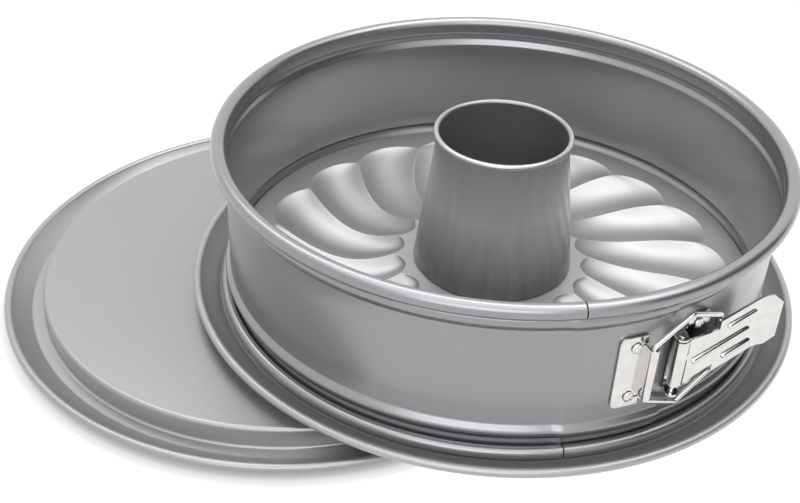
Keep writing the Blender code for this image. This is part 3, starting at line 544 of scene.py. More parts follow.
def base_chain(start_radius, edge):
    """Upper face of a base from start_radius out to the tip of the tray's rolled edge."""
    roll_centre = (TRAY_ROLL_CENTRE, TRAY_ROLL_HEIGHT)
    roll = arc(roll_centre, TRAY_ROLL_RADIUS, TRAY_ROLL_START, TRAY_ROLL_END)
    corners = [
        (start_radius, BASE_TOP_HEIGHT, 0),
        (BASE_TOP_RADIUS, BASE_TOP_HEIGHT, edge),
        (BASE_TOP_RADIUS, BASE_SHEET, FLOOR_CORNER),
        (FLOOR_RADIUS, BASE_SHEET, TRAY_BEND),
        (*roll[0], 0),
    ]
    return soft_chain(corners) + roll[1:]


def flat_base_sheet(look):
    loop = sheet_loop(base_chain(0.0, SPARE_EDGE_RADIUS), -BASE_SHEET)
    mesh = turned("flat_base_sheet", loop, TURN_STEPS)
    carry(mesh, Matrix.Translation(SPARE_PLACE))
    add_piece("flat_base_sheet", mesh, look, "spare_base", "flat_base", SHEET_CREASE)


def flute_places():
    """Middle angle and place across its flute, -1 to 1, of each column of the base's
    mesh; the columns crowd together at the ridges."""
    places = []
    for flute in range(FLUTES):
        middle = FLUTE_START + math.tau * (flute + 0.5) / FLUTES
        for step in range(FLUTE_STEPS):
            across = math.sin(math.pi / 2 * (2 * step / FLUTE_STEPS - 1))
            places.append((middle, across))
    return places


def flute_point(middle, across, along, beyond):
    """Upper face of the fluted ring. across runs -1 to 1 from ridge to ridge of one
    flute, along runs 0 to 1 from its outer end to its inner end, and beyond moves
    the point outwards."""
    outer = FLUTE_OUTER_RADIUS - FLUTE_OUTER_CUSP * across ** 2
    inner = FLUTE_INNER_RADIUS + FLUTE_INNER_CUSP * across ** 2
    radius = outer + (inner - outer) * along + beyond
    ridge_run = FLUTE_OUTER_RADIUS - FLUTE_OUTER_CUSP - FLUTE_INNER_RADIUS - FLUTE_INNER_CUSP
    inward = (FLUTE_OUTER_RADIUS - FLUTE_OUTER_CUSP - radius) / ridge_run
    inward = min(1.0, max(0.0, inward))
    angle = middle + across * math.pi / FLUTES
    angle += FLUTE_SWIRL * math.sin(inward * math.pi / 2)
    deepest = BASE_TOP_HEIGHT - BASE_SHEET - FLUTE_CLEARANCE
    trough = deepest * max(0.0, math.sin(math.pi * along ** TROUGH_SKEW)) ** TROUGH_FULLNESS
    ridge = RIDGE_DIP * max(0.0, math.sin(math.pi * along ** RIDGE_SKEW))
    side = 1.0 - abs(across)
    side = math.sqrt(side * side + RIDGE_SOFTNESS ** 2) - RIDGE_SOFTNESS
    dip = ridge + (trough - ridge) * side * (2.0 - side)
    return (radius * math.cos(angle), radius * math.sin(angle), BASE_TOP_HEIGHT - dip)


def fluted_rings(bm, drop):
    """Rings of one face of the fluted ring, outermost first, with a lip at each end."""
    rows = [(0.0, 2 * FLUTE_LIP), (0.0, FLUTE_LIP)]
    for station in range(FLUTE_STATIONS + 1):
        rows.append((0.5 - 0.5 * math.cos(math.pi * station / FLUTE_STATIONS), 0.0))
    rows += [(1.0, -FLUTE_LIP), (1.0, -2 * FLUTE_LIP)]
    rings = []
    for along, beyond in rows:
        ring = []
        for middle, across in flute_places():
            x, y, z = flute_point(middle, across, along, beyond)
            ring.append(bm.verts.new((x, y, z - drop)))
        rings.append(ring)
    return rings


def chain_rings(bm, chain, twist):
    """Rings of a turned part of the base, in the columns of the flutes plus a twist."""
    angles = [middle + across * math.pi / FLUTES + twist for middle, across in flute_places()]
    rings = []
    for point in chain:
        rings.append([bm.verts.new(spin_point(point, angle)) for angle in angles])
    return rings


def tube_base_sheet(look):
    """One sheet from the tube's hole, over the flutes, to the tray's rolled edge."""
    bm = bmesh.new()
    chain = base_chain(FLUTE_FIELD_RADIUS, TUBE_BASE_EDGE_RADIUS)
    hole = TUBE_FOOT_RADIUS - TUBE_NECK_STEP + TOUCH
    neck = (hole, 0.5 * (hole + FLUTE_INNER_RADIUS))
    faces = []
    for drop, profile in ((0.0, chain), (BASE_SHEET, offset_chain(chain, -BASE_SHEET))):
        flat = [(radius, BASE_TOP_HEIGHT - drop) for radius in neck]
        rings = chain_rings(bm, flat, FLUTE_SWIRL)
        rings += fluted_rings(bm, drop)[::-1]
        rings += chain_rings(bm, profile, 0.0)
        for inner, outer in zip(rings, rings[1:]):
            bridge_rings(bm, inner, outer)
        faces.append(rings)
    bridge_rings(bm, faces[0][0], faces[1][0])
    bridge_rings(bm, faces[0][-1], faces[1][-1])
    mesh = to_mesh("tube_base_sheet", bm)
    carry(mesh, PAN_MATRIX)
    add_piece(
        "tube_base_sheet", mesh, look, "pan_base", "tube_base", FLUTED_CREASE)


def tube_sheet(look):
    """Cone with a rolled top, crimped over both faces of the base at its foot."""
    neck = TUBE_FOOT_RADIUS - TUBE_NECK_STEP
    under = BASE_TOP_HEIGHT - BASE_SHEET - TOUCH
    shoulder = BASE_TOP_HEIGHT + TOUCH
    skin_roll = TUBE_ROLL_RADIUS - TUBE_SHEET
    corners = [
        (neck + TUBE_FLANGE, under, 0), (neck, under, 0), (neck, shoulder, 0),
        (TUBE_FOOT_RADIUS, shoulder, TUBE_SHOULDER), (TUBE_ROLL_CENTRE - skin_roll, TUBE_TOP_HEIGHT, 0),
    ]
    roll = arc((TUBE_ROLL_CENTRE, TUBE_TOP_HEIGHT), skin_roll, math.pi, TUBE_ROLL_END)
    mesh = turned("tube_sheet", sheet_loop(soft_chain(corners) + roll[1:], TUBE_SHEET), TUBE_STEPS)
    carry(mesh, PAN_MATRIX)
    add_piece("tube_sheet", mesh, look, "pan_base", "tube", SHEET_CREASE)


# Band


def bead_points(bottom, height, depth, skew, fullness):
    """Points of an outward bead in the wall; the skew moves its crest up."""
    points = []
    for step in range(BEAD_STEPS + 1):
        part = step / BEAD_STEPS
        swell = (0.5 - 0.5 * math.cos(math.tau * part ** skew)) ** fullness
        points.append((BAND_INNER_RADIUS + depth * swell, bottom + height * part))
    return points


def band_chain():
    """Inner face of the band from the tip of the bottom curl to the tip of the rim, with
    the first and the last of its points that belong to the tongue."""
    curl_centre = (BAND_INNER_RADIUS + CURL_RADIUS, BASE_SHEET + TOUCH + CURL_RADIUS)
    rim_centre = (BAND_INNER_RADIUS + RIM_ROLL_RADIUS, RIM_ROLL_HEIGHT)
    curl = arc(curl_centre, CURL_RADIUS, CURL_START, -math.pi)
    low = [(BAND_INNER_RADIUS, TONGUE_BOTTOM)]
    low += bead_points(GROOVE_BOTTOM, GROOVE_HEIGHT, GROOVE_DEPTH, GROOVE_SKEW, GROOVE_FULLNESS)
    wall_bottom = GROOVE_BOTTOM + GROOVE_HEIGHT
    rise = (UPPER_BEAD_BOTTOM - wall_bottom) / WALL_STEPS
    wall = [(BAND_INNER_RADIUS, wall_bottom + rise * k) for k in range(1, WALL_STEPS)]
    high = bead_points(
        UPPER_BEAD_BOTTOM, UPPER_BEAD_HEIGHT, UPPER_BEAD_DEPTH, UPPER_BEAD_SKEW, UPPER_BEAD_FULLNESS)
    high += [(BAND_INNER_RADIUS, TONGUE_TOP)]
    rim = arc(rim_centre, RIM_ROLL_RADIUS, math.pi, RIM_ROLL_END)
    first = len(curl)
    last = len(curl) + len(low) + len(wall) + len(high) - 1
    return curl + low + wall + high + rim, first, last


def band_row(bm, side, angle, shift, first, last):
    """One cross-section of one face; only the tongue's part is shifted outwards."""
    row = []
    for index, (radius, height) in enumerate(side):
        moved = radius + (shift if first <= index <= last else 0.0)
        row.append(bm.verts.new(spin_point((moved, height), angle)))
    return row


def band_stations():
    """Angles from the seam round to the seam, with the tongue's shift at each."""
    start = SEAM_ANGLE + SEAM_GAP / BAND_INNER_RADIUS
    end = SEAM_ANGLE + math.tau
    joggle = end - JOGGLE_ANGLE
    turn_steps = TURN_STEPS - JOGGLE_STEPS
    stations = [(start + (joggle - start) * k / turn_steps, 0.0) for k in range(turn_steps)]
    for step in range(JOGGLE_STEPS + 1):
        part = step / JOGGLE_STEPS
        shift = TONGUE_SHIFT * part * part * (3 - 2 * part)
        stations.append((joggle + JOGGLE_ANGLE * part, shift))
    return stations


def band_sheet(look):
    """One strip: its left end runs on past the seam as a tongue outside the right end,
    while the rim and the bottom curl butt at the seam."""
    inner, first, last = band_chain()
    outer = offset_chain(inner, -BAND_SHEET)
    bm = bmesh.new()
    body = []
    for angle, shift in band_stations():
        body.append([band_row(bm, side, angle, shift, first, last) for side in (inner, outer)])
    for here, after in zip(body, body[1:]):
        bridge_rings(bm, here[0] + here[1][::-1], after[0] + after[1][::-1])
    bm.faces.new(body[0][0] + body[0][1][::-1])
    seam = body[-1]
    bm.faces.new(seam[0][last:] + seam[1][last:][::-1])
    bm.faces.new(seam[0][: first + 1] + seam[1][: first + 1][::-1])
    part = slice(first, last + 1)
    previous = seam[0][part] + seam[1][part][::-1]
    end = SEAM_ANGLE + math.tau
    for step in range(1, TONGUE_STEPS + 1):
        angle = end + TONGUE_ANGLE * step / TONGUE_STEPS
        rows = []
        for side in (inner, outer):
            rows.append(band_row(bm, side[part], angle, TONGUE_SHIFT, 0, len(side)))
        current = rows[0] + rows[1][::-1]
        bridge_rings(bm, previous, current)
        previous = current
    bm.faces.new(previous)
    mesh = to_mesh("band_sheet", bm)
    carry(mesh, PAN_MATRIX)
    add_piece("band_sheet", mesh, look, "band", "side_band", BAND_CREASE)


# Clasp


def radial_frame(angle, rise):
    """Turns +Z outwards at an angle round the pan, at a height from the clasp's middle."""
    turn = around(1.0, angle).to_track_quat("Z", "Y").to_matrix().to_4x4()
    turn.translation = Vector((0, 0, CLASP_HEIGHT + rise))
    return turn


def drilled(mesh, angle, rise, inner_radius):
    """A riveted plate with the holes for its upper and its lower rivet."""
    outside = inner_radius + CLASP_SHEET + TOUCH
    for height in (rise, -rise):
        hole = drill(RIVET_SHANK_RADIUS + TOUCH, inner_radius - TOUCH / 2, outside)
        hole.transform(radial_frame(angle, height))
        mesh = boolean(mesh, hole, "DIFFERENCE")
    return mesh


def rivet(name, look, angle, rise, sheet_outer, tail_start, tail_seat=None):
    """A domed head punched with a small four-pointed star, over a shank that ends plain
    at tail_start or, where there is a tail_seat, in a flat tail between the two."""
    seat = sheet_outer + TOUCH
    outline = [(0.0, tail_start)]
    if tail_seat:
        outline += [(RIVET_TAIL_RADIUS, tail_start), (RIVET_TAIL_RADIUS, tail_seat)]
        outline += [(RIVET_SHANK_RADIUS, tail_seat)]
    else:
        outline.append((RIVET_SHANK_RADIUS, tail_start))
    outline += [(RIVET_SHANK_RADIUS, seat), (RIVET_HEAD_RADIUS, seat)]
    for ring in range(RIVET_HEAD_STEPS + 1):
        part = 1 - ring / RIVET_HEAD_STEPS
        height = RIVET_RIM_HEIGHT + RIVET_DOME_HEIGHT * math.sqrt(1 - part * part)
        outline.append((RIVET_HEAD_RADIUS * part, seat + height))
    mesh = turned(name, outline, RIVET_STEPS)
    for vert in mesh.vertices:
        reach = math.hypot(vert.co.x, vert.co.y) / RIVET_HEAD_RADIUS
        if vert.co.z > seat + RIVET_RIM_HEIGHT and reach < STAR_LIMIT:
            star = 0.5 + 0.5 * math.cos(STAR_POINTS * math.atan2(vert.co.y, vert.co.x))
            dent = math.exp(-((reach - STAR_PLACE) / STAR_SPREAD) ** 2) * star ** 2
            vert.co.z -= STAR_DEPTH * dent
    mesh.transform(radial_frame(angle, rise))
    carry(mesh, PAN_MATRIX)
    add_piece(name + "_punched", mesh, look, "band", name, RIVET_CREASE)


def rivets(look):
    """The catch's end flush inside the tongue, the hinge's in a tail inside the band."""
    catch_face = CATCH_INNER_RADIUS + CLASP_SHEET
    catch_end = BAND_OUTER_RADIUS + TOUCH
    hinge_face = BRACKET_INNER_RADIUS + CLASP_SHEET
    seat = BAND_INNER_RADIUS - TOUCH
    tail = seat - RIVET_TAIL_HEIGHT
    for end, side in (("upper", 1), ("lower", -1)):
        rise = side * CATCH_RIVET_RISE
        rivet("catch_rivet_" + end, look, CATCH_RIVET_ANGLE, rise, catch_face, catch_end)
        rise = side * BRACKET_RIVET_RISE
        rivet("hinge_rivet_" + end, look, BRACKET_RIVET_ANGLE, rise, hinge_face, tail, seat)


def curved_plate(name, outline, inner_radius):
    """A plate from a flat outline, (distance round the pan, height), wrapped onto a
    cylinder."""
    bm = bmesh.new()
    bm.faces.new([bm.verts.new((x, y, 0)) for x, y in outline])
    left = min(x for x, y in outline)
    right = max(x for x, y in outline)
    count = math.ceil((right - left) / PLATE_SLICE)
    for index in range(1, count):
        place = left + (right - left) * index / count
        whole = list(bm.verts) + list(bm.edges) + list(bm.faces)
        bmesh.ops.bisect_plane(bm, geom=whole, plane_co=(place, 0, 0), plane_no=(1, 0, 0))
    grown = bmesh.ops.extrude_face_region(bm, geom=list(bm.faces))
    for item in grown["geom"]:
        if isinstance(item, bmesh.types.BMVert):
            item.co.z += CLASP_SHEET
    for vert in bm.verts:
        radius = inner_radius + vert.co.z
        angle = vert.co.x / inner_radius
        vert.co = around(radius, angle, CLASP_HEIGHT + vert.co.y)
    return to_mesh(name, bm)


def local_plan(radius, angle, frame_angle):
    """A plan point in a frame whose Y is the outward direction at frame_angle."""
    turn = angle - frame_angle
    return Vector((radius * math.sin(turn), radius * math.cos(turn)))


def plan_matrix(frame_angle):
    """Takes X round the pan, Y outwards and Z up, at frame_angle, to the pan's axes."""
    out = around(1.0, frame_angle)
    columns = Matrix((Vector((-out.y, out.x, 0)), out, Vector((0, 0, 1)))).transposed()
    return Matrix.Translation((0, 0, CLASP_HEIGHT)) @ columns.to_4x4()


def catch_plate(look):
    """Riveted plate, a web that stands out from its right edge and a rolled knuckle."""
    frame_angle = CATCH_RIVET_ANGLE
    knuckle = local_plan(KNUCKLE_AXIS_RADIUS, KNUCKLE_ANGLE, frame_angle)
    bore = WIRE_RADIUS + TOUCH
    web_right = knuckle.x - bore
    lobe_left = web_right - 2 * CLASP_SHEET
    lobe_rise = KNUCKLE_HALF_HEIGHT + CLASP_SHEET
    left = (CATCH_LEFT_ANGLE - frame_angle) * CATCH_INNER_RADIUS
    right = lobe_left + CATCH_LOBE
    corners = mirrored([
        (left, -CATCH_HALF_HEIGHT, True), (right, -CATCH_HALF_HEIGHT, False),
        (right, -lobe_rise, False), (lobe_left, -lobe_rise, False),
    ])
    outline = [(x + frame_angle * CATCH_INNER_RADIUS, y) for x, y in rounded(corners, CATCH_CORNER)]
    mesh = curved_plate("catch_plate", outline, CATCH_INNER_RADIUS)
    overlap = 2 * CLASP_SHEET
    root = CATCH_INNER_RADIUS + JOIN_INSET
    bend = CLASP_SHEET
    chain = [(lobe_left - overlap, root), (web_right - bend, root)]
    chain += arc((web_right - bend, root + bend), bend, -math.pi / 2, 0.0)[1:]
    chain += arc(tuple(knuckle), bore, math.pi, KNUCKLE_END, LOOP_STEP)
    section = sheet_loop(chain, CLASP_SHEET - 2 * JOIN_INSET)
    hook = prism("hook", section, -KNUCKLE_HALF_HEIGHT, KNUCKLE_HALF_HEIGHT)
    carry(hook, plan_matrix(frame_angle))
    mesh = boolean(mesh, hook, "UNION")
    mesh = drilled(mesh, CATCH_RIVET_ANGLE, CATCH_RIVET_RISE, CATCH_INNER_RADIUS)
    carry(mesh, PAN_MATRIX)
    add_plate("catch_plate", mesh, look, "band", "catch_bracket")


def lever_axes():
    """Pivot of the lever and its two directions, in the pan's plan."""
    outward = around(1.0, PIVOT_ANGLE).xy
    tangent = Vector((-outward.y, outward.x))
    along = tangent * math.cos(LEVER_TURN) - outward * math.sin(LEVER_TURN)
    face = tangent * math.sin(LEVER_TURN) + outward * math.cos(LEVER_TURN)
    roll = PIN_RADIUS + TOUCH + CLASP_SHEET
    return outward * LEVER_FACE_RADIUS - face * roll, along, face


def lever_matrix():
    """Takes X along the lever, Y out of its face and Z up to the frame's axes."""
    pivot, along, face = lever_axes()
    columns = Matrix((along.to_3d(), face.to_3d(), Vector((0, 0, 1)))).transposed()
    return PAN_MATRIX @ Matrix.Translation((pivot.x, pivot.y, CLASP_HEIGHT)) @ columns.to_4x4()


def rib(start, finish, rise, surface):
    """A pressed rib with round ends, sunk a little into the lever's face."""
    levels = [(RIB_RADIUS, -RIB_ROOT)]
    for level in range(RIB_RISE_STEPS + 1):
        part = math.pi / 2 * level / RIB_RISE_STEPS
        radius = RIB_RADIUS * (RIB_CREST + (1 - RIB_CREST) * math.cos(part))
        levels.append((radius, JOIN_INSET + RIB_HEIGHT * math.sin(part)))
    bm = bmesh.new()
    rings = []
    for radius, height in levels:
        ring = []
        for end, first in ((start, math.pi / 2), (finish, -math.pi / 2)):
            for step in range(RIB_END_STEPS + 1):
                angle = first + math.pi * step / RIB_END_STEPS
                x = end + radius * math.cos(angle)
                ring.append(bm.verts.new((x, surface + height, rise - radius * math.sin(angle))))
        rings.append(ring)
    for low, high in zip(rings, rings[1:]):
        bridge_rings(bm, low, high)
    bm.faces.new(rings[0])
    bm.faces.new(rings[-1])
    return to_mesh("rib", bm)


def lever_blank(bore, end):
    """Outline of the lever seen square to its face, as a deep block to cut it with."""
    reach = 2 * LEVER_HALF_WIDTH
    roll = bore + CLASP_SHEET + TOUCH
    ear = LEVER_EAR_PLACE
    wide = LEVER_HALF_WIDTH + TOUCH
    roll_top = LEVER_ROLL_TOP - TOUCH
    shoulder = end - LEVER_TIP_CHAMFER
    tip = end + TOUCH
    corners = [(-roll, -LEVER_ROLL_BOTTOM, False), (roll, -LEVER_ROLL_BOTTOM, False)]
    corners += mirrored([
        (ear, -LEVER_WAIST, False), (ear, -wide, False), (shoulder, -wide, True),
        (tip, -LEVER_TIP_HALF_WIDTH, True),
    ])
    corners += [(roll, roll_top, False), (-roll, roll_top, False)]
    blank = prism("blank", rounded(corners, LEVER_CORNER), -reach, reach)
    blank.transform(Matrix.Rotation(math.pi / 2, 4, "X"))
    return blank


def lever_pressing(look):
    """Pressed handle: rolled round the pin, two ears for the bail and three ribs."""
    bore = PIN_RADIUS + TOUCH
    tip = LEVER_LENGTH - LEVER_BEND_PLACE
    end = LEVER_BEND_PLACE + tip * math.cos(LEVER_TIP_BEND)
    roll = bore + LEVER_ROLL_SWELL
    step = 2 * LEVER_ROLL_SWELL
    corners = [
        (0.0, roll, 0), (2 * step, roll, step), (4 * step, bore, step),
        (LEVER_BEND_PLACE, bore, LEVER_BEND_RADIUS),
        (end, bore + tip * math.sin(LEVER_TIP_BEND), 0),
    ]
    chain = arc((0, 0), roll, LEVER_ROLL_START, LEVER_ROLL_END, LOOP_STEP)
    chain += soft_chain(corners)[1:]
    mesh = prism("lever", sheet_loop(chain, CLASP_SHEET), -LEVER_HALF_WIDTH, LEVER_HALF_WIDTH)
    mesh = boolean(mesh, lever_blank(bore, end), "INTERSECT")
    near = LEVER_EAR_PLACE + JOIN_INSET
    far = LEVER_EAR_PLACE + CLASP_SHEET + JOIN_INSET
    top = bore + CLASP_SHEET / 2
    bottom = -EAR_DEPTH / 2
    ear = [(near, top), (near, bottom), (far, bottom), (far, top)]
    for side in (-1, 1):
        low, high = sorted((side * LEVER_WAIST, side * LEVER_HALF_WIDTH))
        mesh = boolean(mesh, prism("ear", ear, low + JOIN_INSET, high - JOIN_INSET), "UNION")
    ribs = ((*SHORT_RIB, RIB_SPACING), (*LONG_RIB, 0.0), (*SHORT_RIB, -RIB_SPACING))
    for start, finish, rise in ribs:
        mesh = boolean(mesh, rib(start, finish, rise, bore + CLASP_SHEET), "UNION")
    carry(mesh, lever_matrix())
    add_plate("lever_pressing", mesh, look, "lever", "lever")


def pin(look):
    """Pin of the lever, with a flat head at each end."""
    pivot = lever_axes()[0]
    seat = BRACKET_NECK_HALF_HEIGHT + CLASP_SHEET / 2 + TOUCH
    top = seat + PIN_HEAD_HEIGHT
    half = [
        (PIN_RADIUS, seat), (PIN_HEAD_RADIUS, seat), (PIN_HEAD_RADIUS, top - PIN_HEAD_EDGE),
        (PIN_HEAD_RADIUS - PIN_HEAD_EDGE, top),
    ]
    outline = [(0.0, -top)] + [(x, -y) for x, y in half[::-1]] + half + [(0.0, top)]
    mesh = turned("pin", outline, BORE_STEPS)
    carry(mesh, PAN_MATRIX @ Matrix.Translation((pivot.x, pivot.y, CLASP_HEIGHT)))
    add_piece("hinge_pin", mesh, look, "band", "lever_pin", PIN_CREASE)


def hinge_plate(look):
    """Riveted plate with two flanges that hold the ends of the lever's pin."""
    radius = BRACKET_INNER_RADIUS
    left = BRACKET_LEFT_ANGLE * radius
    neck = left + BRACKET_NECK_ANGLE * radius
    right = left + BRACKET_SPAN * radius
    tall = BRACKET_HALF_HEIGHT
    low = BRACKET_NECK_HALF_HEIGHT
    corners = mirrored([
        (left, -low, False), (neck, -low, False), (neck, -tall, True), (right, -tall, True),
    ])
    mesh = curved_plate("hinge_plate", rounded(corners, BRACKET_CORNER), radius)
    pivot = lever_axes()[0]
    out = around(1.0, PIVOT_ANGLE)
    centre = Vector((pivot.dot(Vector((-out.y, out.x))), pivot.dot(out.xy)))
    nose = PIN_RADIUS + TOUCH + FLANGE_MARGIN
    root = radius + CLASP_SHEET / 2
    edge = local_plan(root, BRACKET_LEFT_ANGLE, PIVOT_ANGLE).x + TOUCH / 2
    flange = arc(tuple(centre), nose, math.pi, 0.0)
    flange += [(centre.x + nose + FLANGE_MARGIN, root), (edge, root)]
    for side in (-1, 1):
        middle = side * BRACKET_NECK_HALF_HEIGHT
        shape = prism("flange", flange, middle - CLASP_SHEET / 2, middle + CLASP_SHEET / 2)
        carry(shape, plan_matrix(PIVOT_ANGLE))
        mesh = boolean(mesh, shape, "UNION")
    hole = drill(PIN_RADIUS + TOUCH, CLASP_HEIGHT - 2 * tall, CLASP_HEIGHT + 2 * tall)
    hole.transform(Matrix.Translation((pivot.x, pivot.y, 0)))
    mesh = boolean(mesh, hole, "DIFFERENCE")
    mesh = drilled(mesh, BRACKET_RIVET_ANGLE, BRACKET_RIVET_RISE, radius)
    carry(mesh, PAN_MATRIX)
    add_plate("hinge_plate", mesh, look, "band", "hinge_bracket")


def bail_path():
    """Centre line of the wire, from the lower hook round the knuckle to the upper hook."""
    pivot, along = lever_axes()[:2]
    place = LEVER_EAR_PLACE + CLASP_SHEET + EAR_CLEARANCE + WIRE_RADIUS
    hook = pivot + along * place
    knuckle = around(KNUCKLE_AXIS_RADIUS, KNUCKLE_ANGLE)
    bend = around(BAIL_BEND_RADIUS, BAIL_BEND_ANGLE)
    run = KNUCKLE_HALF_HEIGHT + TOUCH + WIRE_RADIUS
    leg = LEVER_HALF_WIDTH + TOUCH + WIRE_RADIUS
    half = [
        (knuckle.x, knuckle.y, run), (bend.x, bend.y, BAIL_BEND_RISE),
        (hook.x, hook.y, leg), (hook.x, hook.y, leg - BAIL_HOOK_LENGTH),
    ]
    upper = [Vector(point) for point in half]
    return [Vector((x, y, -z)) for x, y, z in half][::-1] + upper


def round_path(points, radius, steps):
    """The path with every inner corner replaced by an arc."""
    smooth = [points[0]]
    for before, here, after in zip(points, points[1:], points[2:]):
        back = (before - here).normalized()
        on = (after - here).normalized()
        smooth += fillet(here, back, on, radius, steps)
    smooth.append(points[-1])
    return smooth


def bail_wire(look):
    """Bent wire loop through the catch's knuckle, hooked behind the lever's ears."""
    place = PAN_MATRIX @ Matrix.Translation((0, 0, CLASP_HEIGHT))
    data = bpy.data.curves.new("bail_wire", "CURVE")
    data.dimensions = "3D"
    data.bevel_depth = WIRE_RADIUS + WIRE_PLATING
    data.bevel_resolution = WIRE_RESOLUTION
    data.use_fill_caps = True
    points = round_path(bail_path(), BAIL_CORNER, BAIL_CORNER_STEPS)
    spline = data.splines.new("POLY")
    spline.points.add(len(points) - 1)
    for item, point in zip(spline.points, points):
        item.co = (*(place @ point), 1.0)
    made = bpy.data.objects.new("bail_wire", data)
    bpy.context.scene.collection.objects.link(made)
    data.materials.append(look)
    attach(made, "bail")
    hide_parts("bail")


# Materials


class Nodes:
    """Short names for building the node tree of a material or of the world."""

    def __init__(self, tree):
        self.tree = tree

    def add(self, kind, **settings):
        node = self.tree.nodes.new(kind)
        for key, value in settings.items():
            if hasattr(node, key):
                setattr(node, key, value)
            else:
                node.inputs[key.replace("_", " ")].default_value = value
        return node

    def link(self, source, socket):
        """Links another node's output to a socket, or sets it to a plain value."""
        if isinstance(source, bpy.types.NodeSocket):
            self.tree.links.new(source, socket)
        else:
            socket.default_value = source

    def shade(self, **settings):
        """Links or sets the inputs of the main shader."""
        shader = self.tree.nodes["Principled BSDF"]
        for key, value in settings.items():
            self.link(value, shader.inputs[key.replace("_", " ")])

    def noise(self, scale, detail, stretch=(1, 1, 1)):
        place = self.add("ShaderNodeTexCoord")
        mapping = self.add("ShaderNodeMapping", Scale=stretch)
        self.link(place.outputs["Object"], mapping.inputs["Vector"])
        noise = self.add("ShaderNodeTexNoise", Scale=scale, Detail=detail)
        self.link(mapping.outputs["Vector"], noise.inputs["Vector"])
        return noise.outputs["Fac"]

    def spread(self, value, low, high, limits=USUAL_RANGE):
        """Maps a value from its limits to low and high, and holds it there beyond them."""
        start, end = limits
        ramp = self.add("ShaderNodeMapRange", From_Min=start, From_Max=end, To_Min=low, To_Max=high)
        self.link(value, ramp.inputs["Value"])
        return ramp.outputs["Result"]

    def blend(self, factor, first, second):
        """Mixes two colours, either of which can come from another node, by a factor."""
        mix = self.add("ShaderNodeMix", data_type="RGBA")
        self.link(factor, mix.inputs[MIX_FACTOR])
        self.link(first, mix.inputs[MIX_FIRST])
        self.link(second, mix.inputs[MIX_SECOND])
        return mix.outputs[MIX_RESULT]

    def calculate(self, kind, operation, first, second):
        """A Math or Vector Math node that takes two values."""
        made = self.add(kind, operation=operation)
        self.link(first, made.inputs[0])
        self.link(second, made.inputs[1])
        return made.outputs

    def bump(self, height, strength, distance, under=None):
        bump = self.add("ShaderNodeBump", Strength=strength, Distance=distance)
        self.link(height, bump.inputs["Height"])
        if under:
            self.link(under, bump.inputs["Normal"])
        return bump.outputs["Normal"]

    def seen_directly(self):
        """1 for what the camera, glossy or transmission rays see, else 0."""
        path = self.add("ShaderNodeLightPath")
        seen = path.outputs["Is Camera Ray"]
        for ray in ("Is Glossy Ray", "Is Transmission Ray"):
            seen = self.calculate("ShaderNodeMath", "MAXIMUM", seen, path.outputs[ray])[0]
        return seen


def new_look(name):
    """A material and the short names for its nodes."""
    look = bpy.data.materials.new(name)
    look.use_nodes = True
    return look, Nodes(look.node_tree)


def shaded(colour, amount=1.0):
    """A colour made darker or lighter, with the alpha that a socket asks for."""
    return (*(channel * amount for channel in colour), 1)


def painted_foot_shade(nodes, tone):
    """Tube's colour with painted shade: it darkens towards its foot, with a streaky edge, in a
    painted reflection of the shaded parts round it, and its inside, where the normal points at
    the axis, is painted dark for the shade in the tube."""
    place = nodes.add("ShaderNodeTexCoord")
    parts = nodes.add("ShaderNodeSeparateXYZ")
    nodes.link(place.outputs["Object"], parts.inputs[0])
    height = nodes.spread(parts.outputs["Z"], 0.0, 1.0, (FOOT_SHADE_BOTTOM, FOOT_SHADE_TOP))
    streaks = nodes.spread(nodes.noise(*FOOT_SHADE_STREAKS), -STREAK_SHIFT, STREAK_SHIFT)
    edge = nodes.calculate("ShaderNodeMath", "ADD", height, streaks)[0]
    # Painted shade: the tube darkens towards its foot
    foot_shaded = nodes.blend(edge, shaded(TUBE_FOOT_SHADE), tone)
    # Painted shade inside the tube, where the skin faces the axis
    vector = "ShaderNodeVectorMath"
    arm = nodes.calculate(vector, "SUBTRACT", place.outputs["Object"], PAN_PLACE)[0]
    flat = nodes.calculate(vector, "MULTIPLY", arm, (1, 1, 0))[0]
    facing = nodes.calculate(vector, "DOT_PRODUCT", flat, place.outputs["Normal"])["Value"]
    outside = nodes.spread(facing, 0.0, 1.0, (-INSIDE_SHADE_REACH, 0.0))
    return nodes.blend(outside, shaded(TUBE_INSIDE_SHADE), foot_shaded)


def coating(name, colour, roughness, metal, with_painted_shade=False):
    """Satin non-stick paint with metal flake: faint clouds, fine grain, soft gloss."""
    look, nodes = new_look(name)
    clouds = nodes.spread(nodes.noise(*CLOUDS), low=0.82, high=1.06, limits=WIDE_RANGE)
    flake = nodes.spread(nodes.noise(*FLAKE), low=0.8, high=1.0)
    grain = nodes.calculate("ShaderNodeMath", "MULTIPLY", clouds, flake)[0]
    tone = nodes.blend(grain, shaded(colour, amount=0.72), shaded(colour, amount=1.06))
    # The tube's coating also gets painted shade at its foot and inside
    if with_painted_shade:
        tone = painted_foot_shade(nodes, tone)
    wear = nodes.spread(nodes.noise(*WEAR), roughness - 0.02, roughness + 0.025, WIDE_RANGE)
    peel = nodes.bump(nodes.noise(*PEEL), strength=0.05, distance=0.05 * MM)
    nodes.shade(Base_Color=tone, Metallic=metal, Roughness=wear, Normal=peel)
    nodes.shade(Coat_Weight=GLAZE_WEIGHT, Coat_Roughness=GLAZE_ROUGHNESS)
    return look


def nickel(name, roughness):
    """Bright nickel plate with faint rolling marks and tiny scuffs."""
    look, nodes = new_look(name)
    clouds = nodes.spread(nodes.noise(*NICKEL_CLOUDS), low=0.0, high=1.0)
    tone = nodes.blend(clouds, shaded(NICKEL, amount=0.93), shaded(NICKEL))
    marks = nodes.noise(*ROLLING_MARKS)
    scuffs = nodes.spread(marks, roughness, roughness + 0.07)
    waves = nodes.bump(nodes.noise(*NICKEL_WAVES), strength=0.08, distance=0.05 * MM)
    relief = nodes.bump(marks, strength=0.05, distance=0.02 * MM, under=waves)
    nodes.shade(Base_Color=tone, Metallic=1.0, Roughness=scuffs, Normal=relief)
    return look


# Studio


